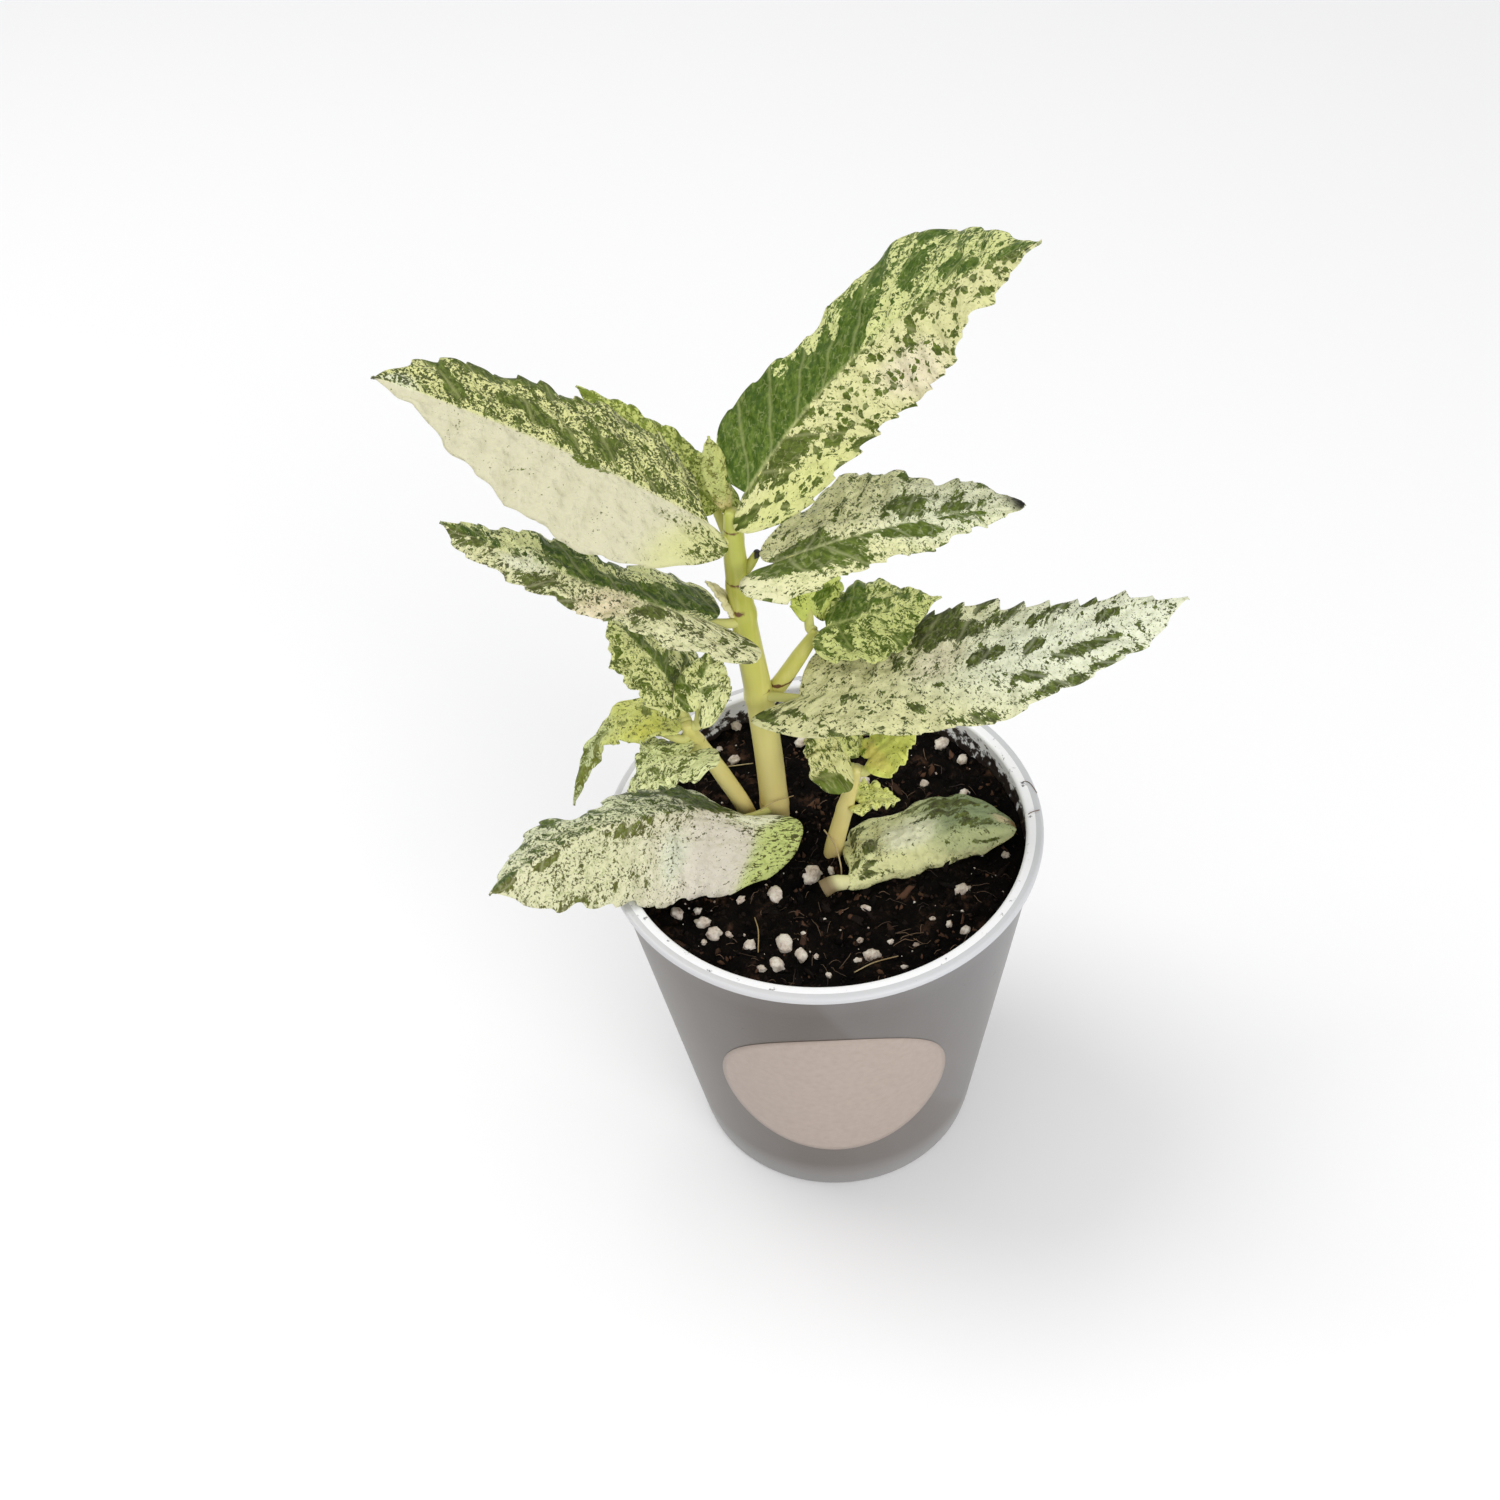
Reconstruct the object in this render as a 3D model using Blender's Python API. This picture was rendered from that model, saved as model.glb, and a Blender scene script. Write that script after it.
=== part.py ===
# A potted pellionia: a pale plastic nursery pot with a blank round label, potting soil with
# perlite grains, a thick pale main stem, three side stems, and variegated toothed leaves.
#
# The pot stands on z = 0 with its axis on the origin, and the label faces -Y. Sizes are in
# metres, written as millimetres times MM.

import math
import random

import bmesh
import bpy
import numpy as np
from mathutils import Matrix, Vector

MM = 0.001
GAP = 0.3 * MM

# Pot: the size of a common 9 cm nursery pot.
POT_HEIGHT = 86 * MM
POT_RIM_RADIUS = 45 * MM
POT_BASE_RADIUS = 31 * MM
POT_WALL = 1.3 * MM
RIM_WIDTH = 3.6 * MM
RIM_DEPTH = 1.5 * MM
RIM_STEP = 0.9 * MM
FLOOR_THICKNESS = 1.6 * MM
FOOT_WIDTH = 3.5 * MM
FOOT_LIFT = 1.2 * MM
DRAIN_HOLES = 5
DRAIN_RADIUS = 3.0 * MM
DRAIN_CIRCLE = 17 * MM
POT_SEGMENTS = 64

# Label: a round sticker wrapped on the front of the pot.
LABEL_RADIUS = 25 * MM
LABEL_HEIGHT = 43.5 * MM
LABEL_AZIMUTH = -93.5
LABEL_THICKNESS = 0.35 * MM

# Soil: its surface lies this far below the rim.
SOIL_DEPTH_BELOW_RIM = 8 * MM
SOIL_TOP = POT_HEIGHT - SOIL_DEPTH_BELOW_RIM
SOIL_SEGMENTS = 40
SOIL_RINGS = 9
SOIL_ROUGHNESS = 0.6 * MM
SOIL_SPREAD = 37 * MM
PERLITE_GRAINS = 22

# Blades.
BLADE_THICKNESS = 0.7 * MM
ROWS_PER_TOOTH = 2
BLADE_COLUMNS = 3

MATERIAL_SPECS = {
    "pot_plastic": ((0.72, 0.73, 0.75), 0.38),
    "label_paper": ((0.83, 0.72, 0.69), 0.55),
    "soil": ((0.045, 0.032, 0.026), 0.95),
    "stem": ((0.72, 0.66, 0.30), 0.42),
    "leaf": ((0.66, 0.74, 0.42), 0.45),
    "young_leaf": ((0.62, 0.70, 0.22), 0.45),
}


def clear_scene():
    for obj in list(bpy.data.objects):
        bpy.data.objects.remove(obj, do_unlink=True)


def material(name):
    found = bpy.data.materials.get(name)
    if found:
        return found
    colour, roughness = MATERIAL_SPECS[name]
    made = bpy.data.materials.new(name)
    made.use_nodes = True
    shader = made.node_tree.nodes["Principled BSDF"]
    shader.inputs["Base Color"].default_value = (*colour, 1)
    shader.inputs["Roughness"].default_value = roughness
    shader.inputs["Metallic"].default_value = 0
    return made


def add_object(name, points, faces, material_name, smooth=True):
    mesh = bpy.data.meshes.new(name)
    mesh.from_pydata([tuple(map(float, p)) for p in points], [], faces)
    work = bmesh.new()
    work.from_mesh(mesh)
    bmesh.ops.recalc_face_normals(work, faces=work.faces)
    work.to_mesh(mesh)
    work.free()
    mesh.validate()
    if smooth:
        mesh.shade_smooth()
    mesh.materials.append(material(material_name))
    obj = bpy.data.objects.new(name, mesh)
    bpy.context.scene.collection.objects.link(obj)
    return obj


def apply_boolean(target, others, operation):
    """Joins or cuts target with all the other objects in one Boolean, then removes them."""
    tools = bpy.data.collections.new(target.name + "_tools")
    bpy.context.scene.collection.children.link(tools)
    for other in others:
        for holder in list(other.users_collection):
            holder.objects.unlink(other)
        tools.objects.link(other)
    modifier = target.modifiers.new("tools", "BOOLEAN")
    modifier.operation = operation
    modifier.solver = "EXACT"
    modifier.operand_type = "COLLECTION"
    modifier.collection = tools
    bpy.context.view_layer.objects.active = target
    bpy.ops.object.modifier_apply(modifier=modifier.name)
    for other in list(tools.objects):
        bpy.data.objects.remove(other, do_unlink=True)
    bpy.data.collections.remove(tools)


# Pot

def pot_wall_radius(z):
    """Outer radius of the pot's tapered wall at height z."""
    top_radius = POT_RIM_RADIUS - RIM_STEP
    return POT_BASE_RADIUS + (top_radius - POT_BASE_RADIUS) * z / POT_HEIGHT


def pot_inner_radius(z):
    return pot_wall_radius(z) - POT_WALL


def turned(name, profile, segments, material_name):
    """A closed solid turned from a closed profile of (radius, z) points that stays off the axis,
    or touches it at its first and last points."""
    points = []
    rings = []
    for radius, z in profile:
        if radius < 1e-7:
            rings.append([len(points)])
            points.append((0, 0, z))
            continue
        ring = []
        for k in range(segments):
            angle = 2 * math.pi * k / segments
            ring.append(len(points))
            points.append((radius * math.cos(angle), radius * math.sin(angle), z))
        rings.append(ring)
    faces = []
    for a, b in zip(rings, rings[1:]):
        for k in range(segments):
            following = (k + 1) % segments
            if len(a) == 1:
                faces.append((a[0], b[k], b[following]))
            elif len(b) == 1:
                faces.append((a[k], b[0], a[following]))
            else:
                faces.append((a[k], b[k], b[following], a[following]))
    return add_object(name, points, faces, material_name)


def build_pot():
    floor_top = FOOT_LIFT + FLOOR_THICKNESS
    foot_inner = POT_BASE_RADIUS - FOOT_WIDTH
    lip_edge = 0.5 * MM
    profile = [
        (0, FOOT_LIFT),
        (foot_inner, FOOT_LIFT),
        (foot_inner + FOOT_LIFT, 0),
        (POT_BASE_RADIUS - lip_edge, 0),
        (POT_BASE_RADIUS, lip_edge),
        (pot_wall_radius(POT_HEIGHT - RIM_DEPTH), POT_HEIGHT - RIM_DEPTH),
        (POT_RIM_RADIUS - 0.15 * MM, POT_HEIGHT - RIM_DEPTH),
        (POT_RIM_RADIUS, POT_HEIGHT - RIM_DEPTH + lip_edge),
        (POT_RIM_RADIUS, POT_HEIGHT - lip_edge),
        (POT_RIM_RADIUS - lip_edge, POT_HEIGHT),
        (POT_RIM_RADIUS - RIM_WIDTH + lip_edge, POT_HEIGHT),
        (POT_RIM_RADIUS - RIM_WIDTH, POT_HEIGHT - lip_edge),
        (pot_inner_radius(POT_HEIGHT - 4 * MM), POT_HEIGHT - 4 * MM),
        (pot_inner_radius(floor_top), floor_top + lip_edge),
        (pot_inner_radius(floor_top) - lip_edge, floor_top),
        (0, floor_top),
    ]
    pot = turned("pot", profile, POT_SEGMENTS, "pot_plastic")
    cutters = []
    for k in range(DRAIN_HOLES):
        angle = 2 * math.pi * (k + 0.5) / DRAIN_HOLES
        hole = cylinder(DRAIN_RADIUS, FOOT_LIFT - 2 * MM, floor_top + 2 * MM, 16)
        hole.location = (DRAIN_CIRCLE * math.cos(angle), DRAIN_CIRCLE * math.sin(angle), 0)
        cutters.append(hole)
    bpy.context.view_layer.update()
    apply_boolean(pot, cutters, "DIFFERENCE")
    pot.data.set_sharp_from_angle(angle=math.radians(40))
    return pot


def cylinder(radius, bottom, top, segments):
    profile = [(0, bottom), (radius, bottom), (radius, top), (0, top)]
    return turned("cylinder", profile, segments, "soil")


def build_label():
    """A disc laid on the cone of the wall: rings of points at growing arc distance from its centre."""
    rings = 4
    around = 40
    points = []
    for side in (0, 1):
        lift = GAP + side * LABEL_THICKNESS
        for i in range(rings + 1):
            reach = LABEL_RADIUS * i / rings
            count = 1 if i == 0 else around
            for k in range(count):
                angle = 2 * math.pi * k / around
                z = LABEL_HEIGHT + reach * math.sin(angle)
                radius = pot_wall_radius(z)
                turn = math.radians(LABEL_AZIMUTH) + reach * math.cos(angle) / radius
                points.append(
                    (
                        (radius + lift) * math.cos(turn),
                        (radius + lift) * math.sin(turn),
                        z,
                    )
                )
    per_side = 1 + rings * around
    faces = []
    for side in (0, 1):
        start = side * per_side
        for k in range(around):
            following = (k + 1) % around
            faces.append((start, start + 1 + k, start + 1 + following))
            for i in range(1, rings):
                a = start + 1 + (i - 1) * around
                b = a + around
                faces.append((a + k, b + k, b + following, a + following))
    edge = 1 + (rings - 1) * around
    for k in range(around):
        following = (k + 1) % around
        faces.append(
            (edge + k, per_side + edge + k, per_side + edge + following, edge + following)
        )
    return add_object("label", points, faces, "label_paper")


# Stems

def unit(vector):
    return vector / np.linalg.norm(vector)


def smooth_path(points, steps):
    """A Catmull-Rom curve through the points, with the same number of steps in each span."""
    p = np.array(points, float)
    p = np.vstack([2 * p[0] - p[1], p, 2 * p[-1] - p[-2]])
    made = []
    for i in range(1, len(p) - 2):
        for k in range(steps):
            t = k / steps
            made.append(
                0.5
                * (
                    2 * p[i]
                    + (p[i + 1] - p[i - 1]) * t
                    + (2 * p[i - 1] - 5 * p[i] + 4 * p[i + 1] - p[i + 2]) * t**2
                    + (3 * p[i] - p[i - 1] - 3 * p[i + 1] + p[i + 2]) * t**3
                )
            )
    made.append(p[-2])
    return np.array(made)


def tube(name, path, radii, sides, material_name):
    """A round tube along the path, with a radius for each point and flat caps."""
    tangents = np.gradient(path, axis=0)
    side = unit(np.cross(tangents[0], [0.31, 0.95, 0.05]))
    points = []
    for centre, tangent, radius in zip(path, tangents, radii):
        tangent = unit(tangent)
        side = unit(side - tangent * np.dot(side, tangent))
        other = np.cross(tangent, side)
        for k in range(sides):
            angle = 2 * math.pi * k / sides
            points.append(centre + radius * (math.cos(angle) * side + math.sin(angle) * other))
    faces = []
    for i in range(len(path) - 1):
        for k in range(sides):
            following = (k + 1) % sides
            a, b = i * sides, (i + 1) * sides
            faces.append((a + k, a + following, b + following, b + k))
    last = (len(path) - 1) * sides
    faces.append(tuple(range(sides))[::-1])
    faces.append(tuple(last + k for k in range(sides)))
    return add_object(name, points, faces, material_name)


# Each stem: its points in millimetres from below the soil to its top, and its radii there.
STEMS = {
    "main_stem": {
        "points": [(-9, 11.5, 56), (-9.2, 11.2, 78), (-9.7, 10.5, 98), (-10.7, 9.8, 116),
                   (-12.2, 9.5, 134), (-12.9, 9.5, 150), (-12.8, 9.4, 162)],
        "radii": [3.0, 3.0, 2.9, 2.8, 2.5, 2.2, 1.7],
        "sides": 12,
    },
    "left_stem": {
        "points": [(-15.5, 13, 60), (-14.8, 11.2, 78), (-19.5, 8.2, 95), (-24, 5.2, 109),
                   (-25.4, 4.4, 114)],
        "radii": [1.8, 1.8, 1.8, 1.5, 1.2],
        "sides": 10,
    },
    "low_right_stem": {
        "points": [(0.5, -1.5, 60), (1.9, -0.7, 78), (4.8, -0.4, 91), (7.6, 0.2, 102)],
        "radii": [2.0, 2.0, 1.7, 1.2],
        "sides": 10,
    },
}
RIGHT_BRANCH = {
    "points": [(-10.4, 9.9, 112), (-6.5, 10.6, 116.5), (-2, 12, 122.5), (1.6, 13, 127.5)],
    "radii": [1.7, 1.8, 1.6, 1.2],
}
LEAF_STUB = {
    "points": [(-12.6, 9.5, 146), (-10.3, 9.4, 149), (-8.6, 9.3, 152)],
    "radii": [1.2, 1.0, 0.8],
}
STEM_STEPS = 3


def stem_line(spec, steps=STEM_STEPS):
    """The stem's centre line and its radius at each point, in millimetres."""
    path = smooth_path(spec["points"], steps)
    stations = np.linspace(0, len(spec["radii"]) - 1, len(path))
    return path, np.interp(stations, range(len(spec["radii"])), spec["radii"])


def stem_tube(name, spec, sides, wider=0.0):
    path, radii = stem_line(spec)
    path[0] = path[0] - wider * unit(path[1] - path[0])
    return tube(name, path * MM, (radii + wider) * MM, sides, "stem")


def build_stems():
    for name, spec in STEMS.items():
        stem_tube(name, spec, spec["sides"])
    branch = stem_tube("branch", RIGHT_BRANCH, 10)
    stub = stem_tube("stub", LEAF_STUB, 8)
    apply_boolean(bpy.data.objects["main_stem"], [branch, stub], "UNION")


# Soil

def perlite_lump(name, centre, size, rng):
    """A small uneven grain, half sunk in the soil."""
    work = bmesh.new()
    bmesh.ops.create_icosphere(work, subdivisions=1, radius=1)
    stretch = [size * rng.uniform(0.8, 1.3), size * rng.uniform(0.7, 1.1), size * 0.8]
    turn = Matrix.Rotation(rng.uniform(0, math.pi), 3, "Z")
    for vertex in work.verts:
        uneven = vertex.co * rng.uniform(0.88, 1.12)
        shaped = Vector([k * s for k, s in zip(uneven, stretch)])
        vertex.co = (turn @ shaped + Vector(centre)) * MM
    mesh = bpy.data.meshes.new(name)
    work.to_mesh(mesh)
    work.free()
    mesh.materials.append(material("soil"))
    lump = bpy.data.objects.new(name, mesh)
    bpy.context.scene.collection.objects.link(lump)
    return lump


def soil_height(x, y):
    """The uneven top of the soil, in metres, near x and y in metres."""
    x, y = x / MM, y / MM
    waves = math.sin(0.31 * x + 0.8) + math.sin(0.37 * y + 0.4 * x) + math.sin(0.23 * x - 0.41 * y)
    return SOIL_TOP + SOIL_ROUGHNESS * waves / 3


def build_soil():
    rng = random.Random(7)
    bottom = FOOT_LIFT + FLOOR_THICKNESS + GAP
    top_radius = pot_inner_radius(SOIL_TOP) - GAP
    bottom_radius = pot_inner_radius(bottom) - GAP - 0.5 * MM
    points = [(0, 0, soil_height(0, 0))]
    for ring in range(1, SOIL_RINGS + 1):
        reach = top_radius * ring / SOIL_RINGS
        for k in range(SOIL_SEGMENTS):
            angle = 2 * math.pi * k / SOIL_SEGMENTS
            x, y = reach * math.cos(angle), reach * math.sin(angle)
            jitter = 0 if ring == SOIL_RINGS else rng.uniform(-0.25, 0.25) * MM
            points.append((x, y, soil_height(x, y) + jitter))
    for k in range(SOIL_SEGMENTS):
        angle = 2 * math.pi * k / SOIL_SEGMENTS
        points.append((bottom_radius * math.cos(angle), bottom_radius * math.sin(angle), bottom))
    points.append((0, 0, bottom))
    faces = []
    for k in range(SOIL_SEGMENTS):
        following = (k + 1) % SOIL_SEGMENTS
        faces.append((0, 1 + k, 1 + following))
        for ring in range(SOIL_RINGS):
            a = 1 + ring * SOIL_SEGMENTS
            b = a + SOIL_SEGMENTS
            faces.append((a + k, b + k, b + following))
            faces.append((a + k, b + following, a + following))
        last = 1 + SOIL_RINGS * SOIL_SEGMENTS
        faces.append((last + k, len(points) - 1, last + following))
    soil = add_object("soil", points, faces, "soil")
    lumps = []
    for number, (x, y, size) in enumerate(perlite_places(rng)):
        height = soil_height(x * MM, y * MM) / MM
        lumps.append(perlite_lump(f"lump_{number}", (x, y, height + 0.2 * size), size, rng))
    apply_boolean(soil, lumps, "UNION")
    holes = [stem_tube(name + "_hole", spec, spec["sides"], GAP / MM)
             for name, spec in STEMS.items()]
    apply_boolean(soil, holes, "DIFFERENCE")


def perlite_places(rng):
    """Places and sizes of the perlite grains in millimetres: clear of stems, of the fallen leaf,
    of the pot and of each other."""
    clear = [(-9, 11, 6), (-15, 11, 5), (2, -1, 5)]
    clear += [(4 + 6 * k, -8 + 1.4 * k, 11) for k in range(7)]
    clear += [(-18 - 6 * k, -4 - 4 * k, 7) for k in range(5)]
    places = []
    while len(places) < PERLITE_GRAINS:
        reach = (SOIL_SPREAD / MM) * math.sqrt(rng.random())
        angle = rng.uniform(0, 2 * math.pi)
        x, y, size = reach * math.cos(angle), reach * math.sin(angle), rng.uniform(0.8, 1.7)
        if all(math.hypot(x - cx, y - cy) > r + size for cx, cy, r in clear):
            places.append((x, y, size))
            clear.append((x, y, size + 0.8))
    return places


# Leaves
#
# A leaf is given by where its blade starts, by its tip, and by the half widths of its left and
# its right half at nine even steps from base to tip. Its midrib bows up from the straight line
# between base and tip, and sways to the left of it. Roll lifts its left half. Each half has its
# fold (how far it slopes down beside the midrib) and its curl (how much steeper it is by the
# margin). A lobe reaches back past the blade's start. All lengths are in millimetres and all
# angles in degrees.

def leaf(base, tip, stem, left, right, **more):
    spec = {
        "base": base, "tip": tip, "stem": stem, "widths": (left, right), "bow": 3, "sway": 0,
        "roll": 0, "fold": (8, 8), "curl": (10, 10), "lobes": (4, 4), "ear": 2, "teeth": 10,
        "tooth": (0.1, 0.1), "ruffle": 0.6, "finish": "leaf", "petiole": 1.0,
    }
    spec.update(more)
    return spec


LEAVES = {
    "leaf_top_right": leaf(
        (-10, 9, 166), (42, 12, 210), ("main_stem", 160),
        [7, 11, 10.5, 10.5, 13.3, 16.2, 13, 6.3, 0], [6.2, 11.3, 12, 13, 14, 14, 9.8, 5.5, 0],
        bow=0, sway=11, roll=22, fold=(0, 8), lobes=(-1, 4), teeth=12, tooth=(0.03, 0.08)),
    "leaf_top_left": leaf(
        (-17, 7, 161.5), (-72, 13, 195), ("main_stem", 156),
        [7.5, 12, 15.5, 15.5, 14, 11.5, 7.5, 3, 0], [10, 12.5, 14.5, 14.5, 13.5, 12.3, 10.8, 8.8, 0],
        bow=2, roll=-16, fold=(10, 4), lobes=(5, -3), teeth=12, tooth=(0.02, 0.08)),
    "leaf_top_back": leaf(
        (-15, 13.5, 159.5), (-39.3, 33, 175.5), ("main_stem", 155.5),
        [4, 5, 6, 7, 7, 6, 4.5, 2, 0], [5.5, 6, 6, 6, 5, 4, 3, 1.5, 0],
        bow=1.5, sway=-0.7, roll=-8, teeth=8, lobes=(0, 2), finish="young_leaf"),
    "leaf_upper_right": leaf(
        (-6, 5, 152.5), (41, 11, 156), ("main_stem", 143.5),
        [7, 10.5, 14.5, 16.3, 14.3, 11.3, 8.3, 6.8, 0], [5, 8, 7.5, 6.3, 6.8, 5.8, 4.3, 2.5, 0],
        bow=4.5, sway=-2.5, roll=12, fold=(4, 8), lobes=(2.5, 7), teeth=11, tooth=(0.08, 0.12)),
    "leaf_middle_left": leaf(
        (-19, 4, 141), (-65, 8, 166.5), ("main_stem", 137),
        [4, 6, 6.5, 6, 6, 5.3, 4.5, 4.2, 0], [11.5, 11.8, 10.3, 8.8, 9.3, 9.3, 6.2, 4.2, 0],
        bow=0, sway=2, roll=-10, lobes=(11, 3), teeth=9, tooth=(0.1, 0.1)),
    "leaf_long_right": leaf(
        (-3, 4, 119), (72, 6, 134), ("main_stem", 115.5),
        [13, 14, 15.2, 16, 14.8, 11, 8.6, 5.2, 0], [5, 8, 9.5, 10.5, 10.5, 8.2, 6.8, 5, 0],
        bow=2, sway=-7, roll=18, fold=(3, 7), lobes=(0, 9.5), teeth=12, tooth=(0.12, 0.04)),
    "leaf_low_left": leaf(
        (-14.5, 4, 86), (-67, -17, 93), ("main_stem", 82),
        [15, 17.5, 18, 19, 18.3, 16.5, 13.8, 12, 0], [16, 17, 16.5, 14, 9.5, 9.5, 12, 8.5, 0],
        bow=8.8, sway=-4, fold=(34, 20), ear=0.7, lobes=(9, -4), teeth=10, tooth=(0.04, 0.1)),
    "leaf_fallen": leaf(
        (3.6, -12, 82), (39.5, -3, 82.5), None,
        [6, 10, 12.5, 12.5, 12, 12.5, 12, 8.5, 0], [4, 5, 7, 8, 8, 8, 7, 5.5, 0],
        bow=3, sway=4, fold=(5, 15), curl=(35, 75), ear=0.7, lobes=(-3.5, 1), teeth=7,
        tooth=(0.03, 0.02), petiole=1.8),
    "right_branch_leaf_1": leaf(
        (3.4, 12.6, 129), (26.2, 14.6, 132), ("right_branch", 126.5),
        [8, 9.5, 10.5, 10.5, 10, 8, 5.5, 2.5, 0], [7, 8, 9.5, 10, 9.5, 7.5, 4.5, 1.5, 0],
        bow=1, sway=-1, roll=10, teeth=8, lobes=(0, 3)),
    "right_branch_leaf_2": leaf(
        (-0.6, 16.6, 129.6), (-2, 20.5, 139), ("right_branch", 127),
        [2.5, 3.5, 4, 4, 4, 3.5, 2.5, 1.5, 0], [4, 5.5, 7, 8, 7.5, 6, 4, 2, 0],
        bow=1, teeth=6, lobes=(1, 1), finish="young_leaf"),
    "left_stem_leaf_1": leaf(
        (-26.8, 7, 118.5), (-38.5, 15, 133.5), ("left_stem", 113.5),
        [5, 6, 7, 7.5, 8, 8, 7, 4.5, 0], [12, 14, 14.5, 14, 13, 11, 8, 4, 0],
        bow=1.5, sway=-0.5, roll=10, teeth=7, lobes=(2, 0)),
    "left_stem_leaf_2": leaf(
        (-22.6, 4, 118), (-17, 12, 127.5), ("left_stem", 113),
        [5, 5.5, 5.5, 5, 4, 3, 2, 1, 0], [4.5, 5.5, 6, 6, 5.5, 4.5, 3, 1.5, 0],
        bow=2.5, roll=24, teeth=6, ear=0.7, lobes=(-3, 3)),
    "left_stem_leaf_3": leaf(
        (-28, 2.6, 113), (-50.4, 6.5, 91.5), ("left_stem", 111.5),
        [1.5, 2.5, 3.2, 3.2, 2.8, 2.4, 2.2, 1.4, 0], [5.5, 7.5, 9, 9.5, 6, 3, 1.5, 0.8, 0],
        bow=5.5, sway=-7, roll=-10, teeth=9, lobes=(0, -1), finish="young_leaf"),
    "left_stem_leaf_4": leaf(
        (-25.5, 0.8, 109.3), (-38, -4, 105), ("left_stem", 108.5),
        [6.5, 7, 7, 6.5, 6, 5, 3.5, 2, 0], [5.5, 7, 8, 8.5, 8, 7, 5, 2.5, 0],
        bow=4, sway=1, teeth=6, lobes=(3, -1)),
    "low_right_leaf_1": leaf(
        (6, 1.4, 103.5), (0, 10, 109), ("low_right_stem", 101.5),
        [8, 9, 8, 7.5, 7, 6, 4.5, 2.5, 0], [4, 5.5, 6.5, 6.5, 6, 5, 3.5, 2, 0],
        bow=1, teeth=6, lobes=(6, 1), finish="young_leaf"),
    "low_right_leaf_2": leaf(
        (10, 0.2, 104), (23.4, 6, 107), ("low_right_stem", 101),
        [3.5, 5, 6, 6, 5.5, 5, 3.5, 2, 0], [5, 6.5, 6.5, 5.5, 4.5, 3, 2, 1, 0],
        bow=2, teeth=6, lobes=(1, 2), finish="young_leaf"),
    "low_right_leaf_3": leaf(
        (8, -0.8, 92.2), (16, 1, 90.2), ("low_right_stem", 91),
        [5, 6, 7, 7, 6, 5, 3.5, 2, 0], [2.5, 2.8, 2.4, 2, 2, 2, 1.5, 1, 0],
        bow=1, teeth=5, lobes=(1, 3), finish="young_leaf", petiole=0.7),
    "bud": leaf(
        (-15, 11.6, 162.6), (-15.6, 15, 175.5), ("main_stem", 161.5),
        [1.5, 2.5, 3.3, 3.5, 3.2, 2.6, 1.8, 0.9, 0], [1.2, 1.8, 2.2, 2.3, 2.2, 1.8, 1.3, 0.7, 0],
        bow=1, teeth=4, tooth=(0.03, 0.03), lobes=(0, 0), fold=(20, 20), finish="young_leaf",
        petiole=0),
    "stipule": leaf(
        (-15.9, 9.4, 139.6), (-19.6, 9, 147), ("main_stem", 138),
        [0.8, 1.4, 1.9, 2, 1.9, 1.6, 1.1, 0.6, 0], [1, 1.8, 2.3, 2.4, 2.2, 1.8, 1.2, 0.6, 0],
        bow=1, teeth=4, tooth=(0.03, 0.03), lobes=(0, 0), finish="young_leaf", petiole=0),
}


def midrib(spec, t):
    """The midrib's points and its frame (tangent, left, normal) at each t from 0 to 1."""
    t = np.asarray(t, float)[:, None]
    base = np.array(spec["base"], float)
    chord = np.array(spec["tip"], float) - base
    level_left = unit(np.cross([0, 0, 1], chord))
    raised = unit(np.cross(chord, level_left))
    bend = raised * spec["bow"] + level_left * spec["sway"]
    at = base + chord * t + bend * 4 * t * (1 - t)
    along = chord + bend * 4 * (1 - 2 * t)
    along /= np.linalg.norm(along, axis=1)[:, None]
    left = np.cross([0, 0, 1], along)
    left /= np.linalg.norm(left, axis=1)[:, None]
    normal = np.cross(along, left)
    roll = math.radians(spec["roll"])
    rolled_left = left * math.cos(roll) + normal * math.sin(roll)
    rolled_normal = normal * math.cos(roll) - left * math.sin(roll)
    return at, along, rolled_left, rolled_normal


def half_width(spec, t, side):
    """Half width in millimetres at t: a smooth curve through the given steps, with a round base."""
    widths = spec["widths"][side]
    span = np.minimum((t * (len(widths) - 1)).astype(int), len(widths) - 2)
    share = t * (len(widths) - 1) - span
    p = np.array([2 * widths[0] - widths[1], *widths, -widths[-2]])
    a, b, c, d = p[span], p[span + 1], p[span + 2], p[span + 3]
    curve = 0.5 * (2 * b + (c - a) * share + (2 * a - 5 * b + 4 * c - d) * share**2
                   + (3 * b - a - 3 * c + d) * share**3)
    round_base = 0.5 + 0.5 * np.sqrt(1 - np.clip(1 - t / 0.1, 0, 1) ** 2)
    return np.maximum(curve, 0) * round_base


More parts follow.
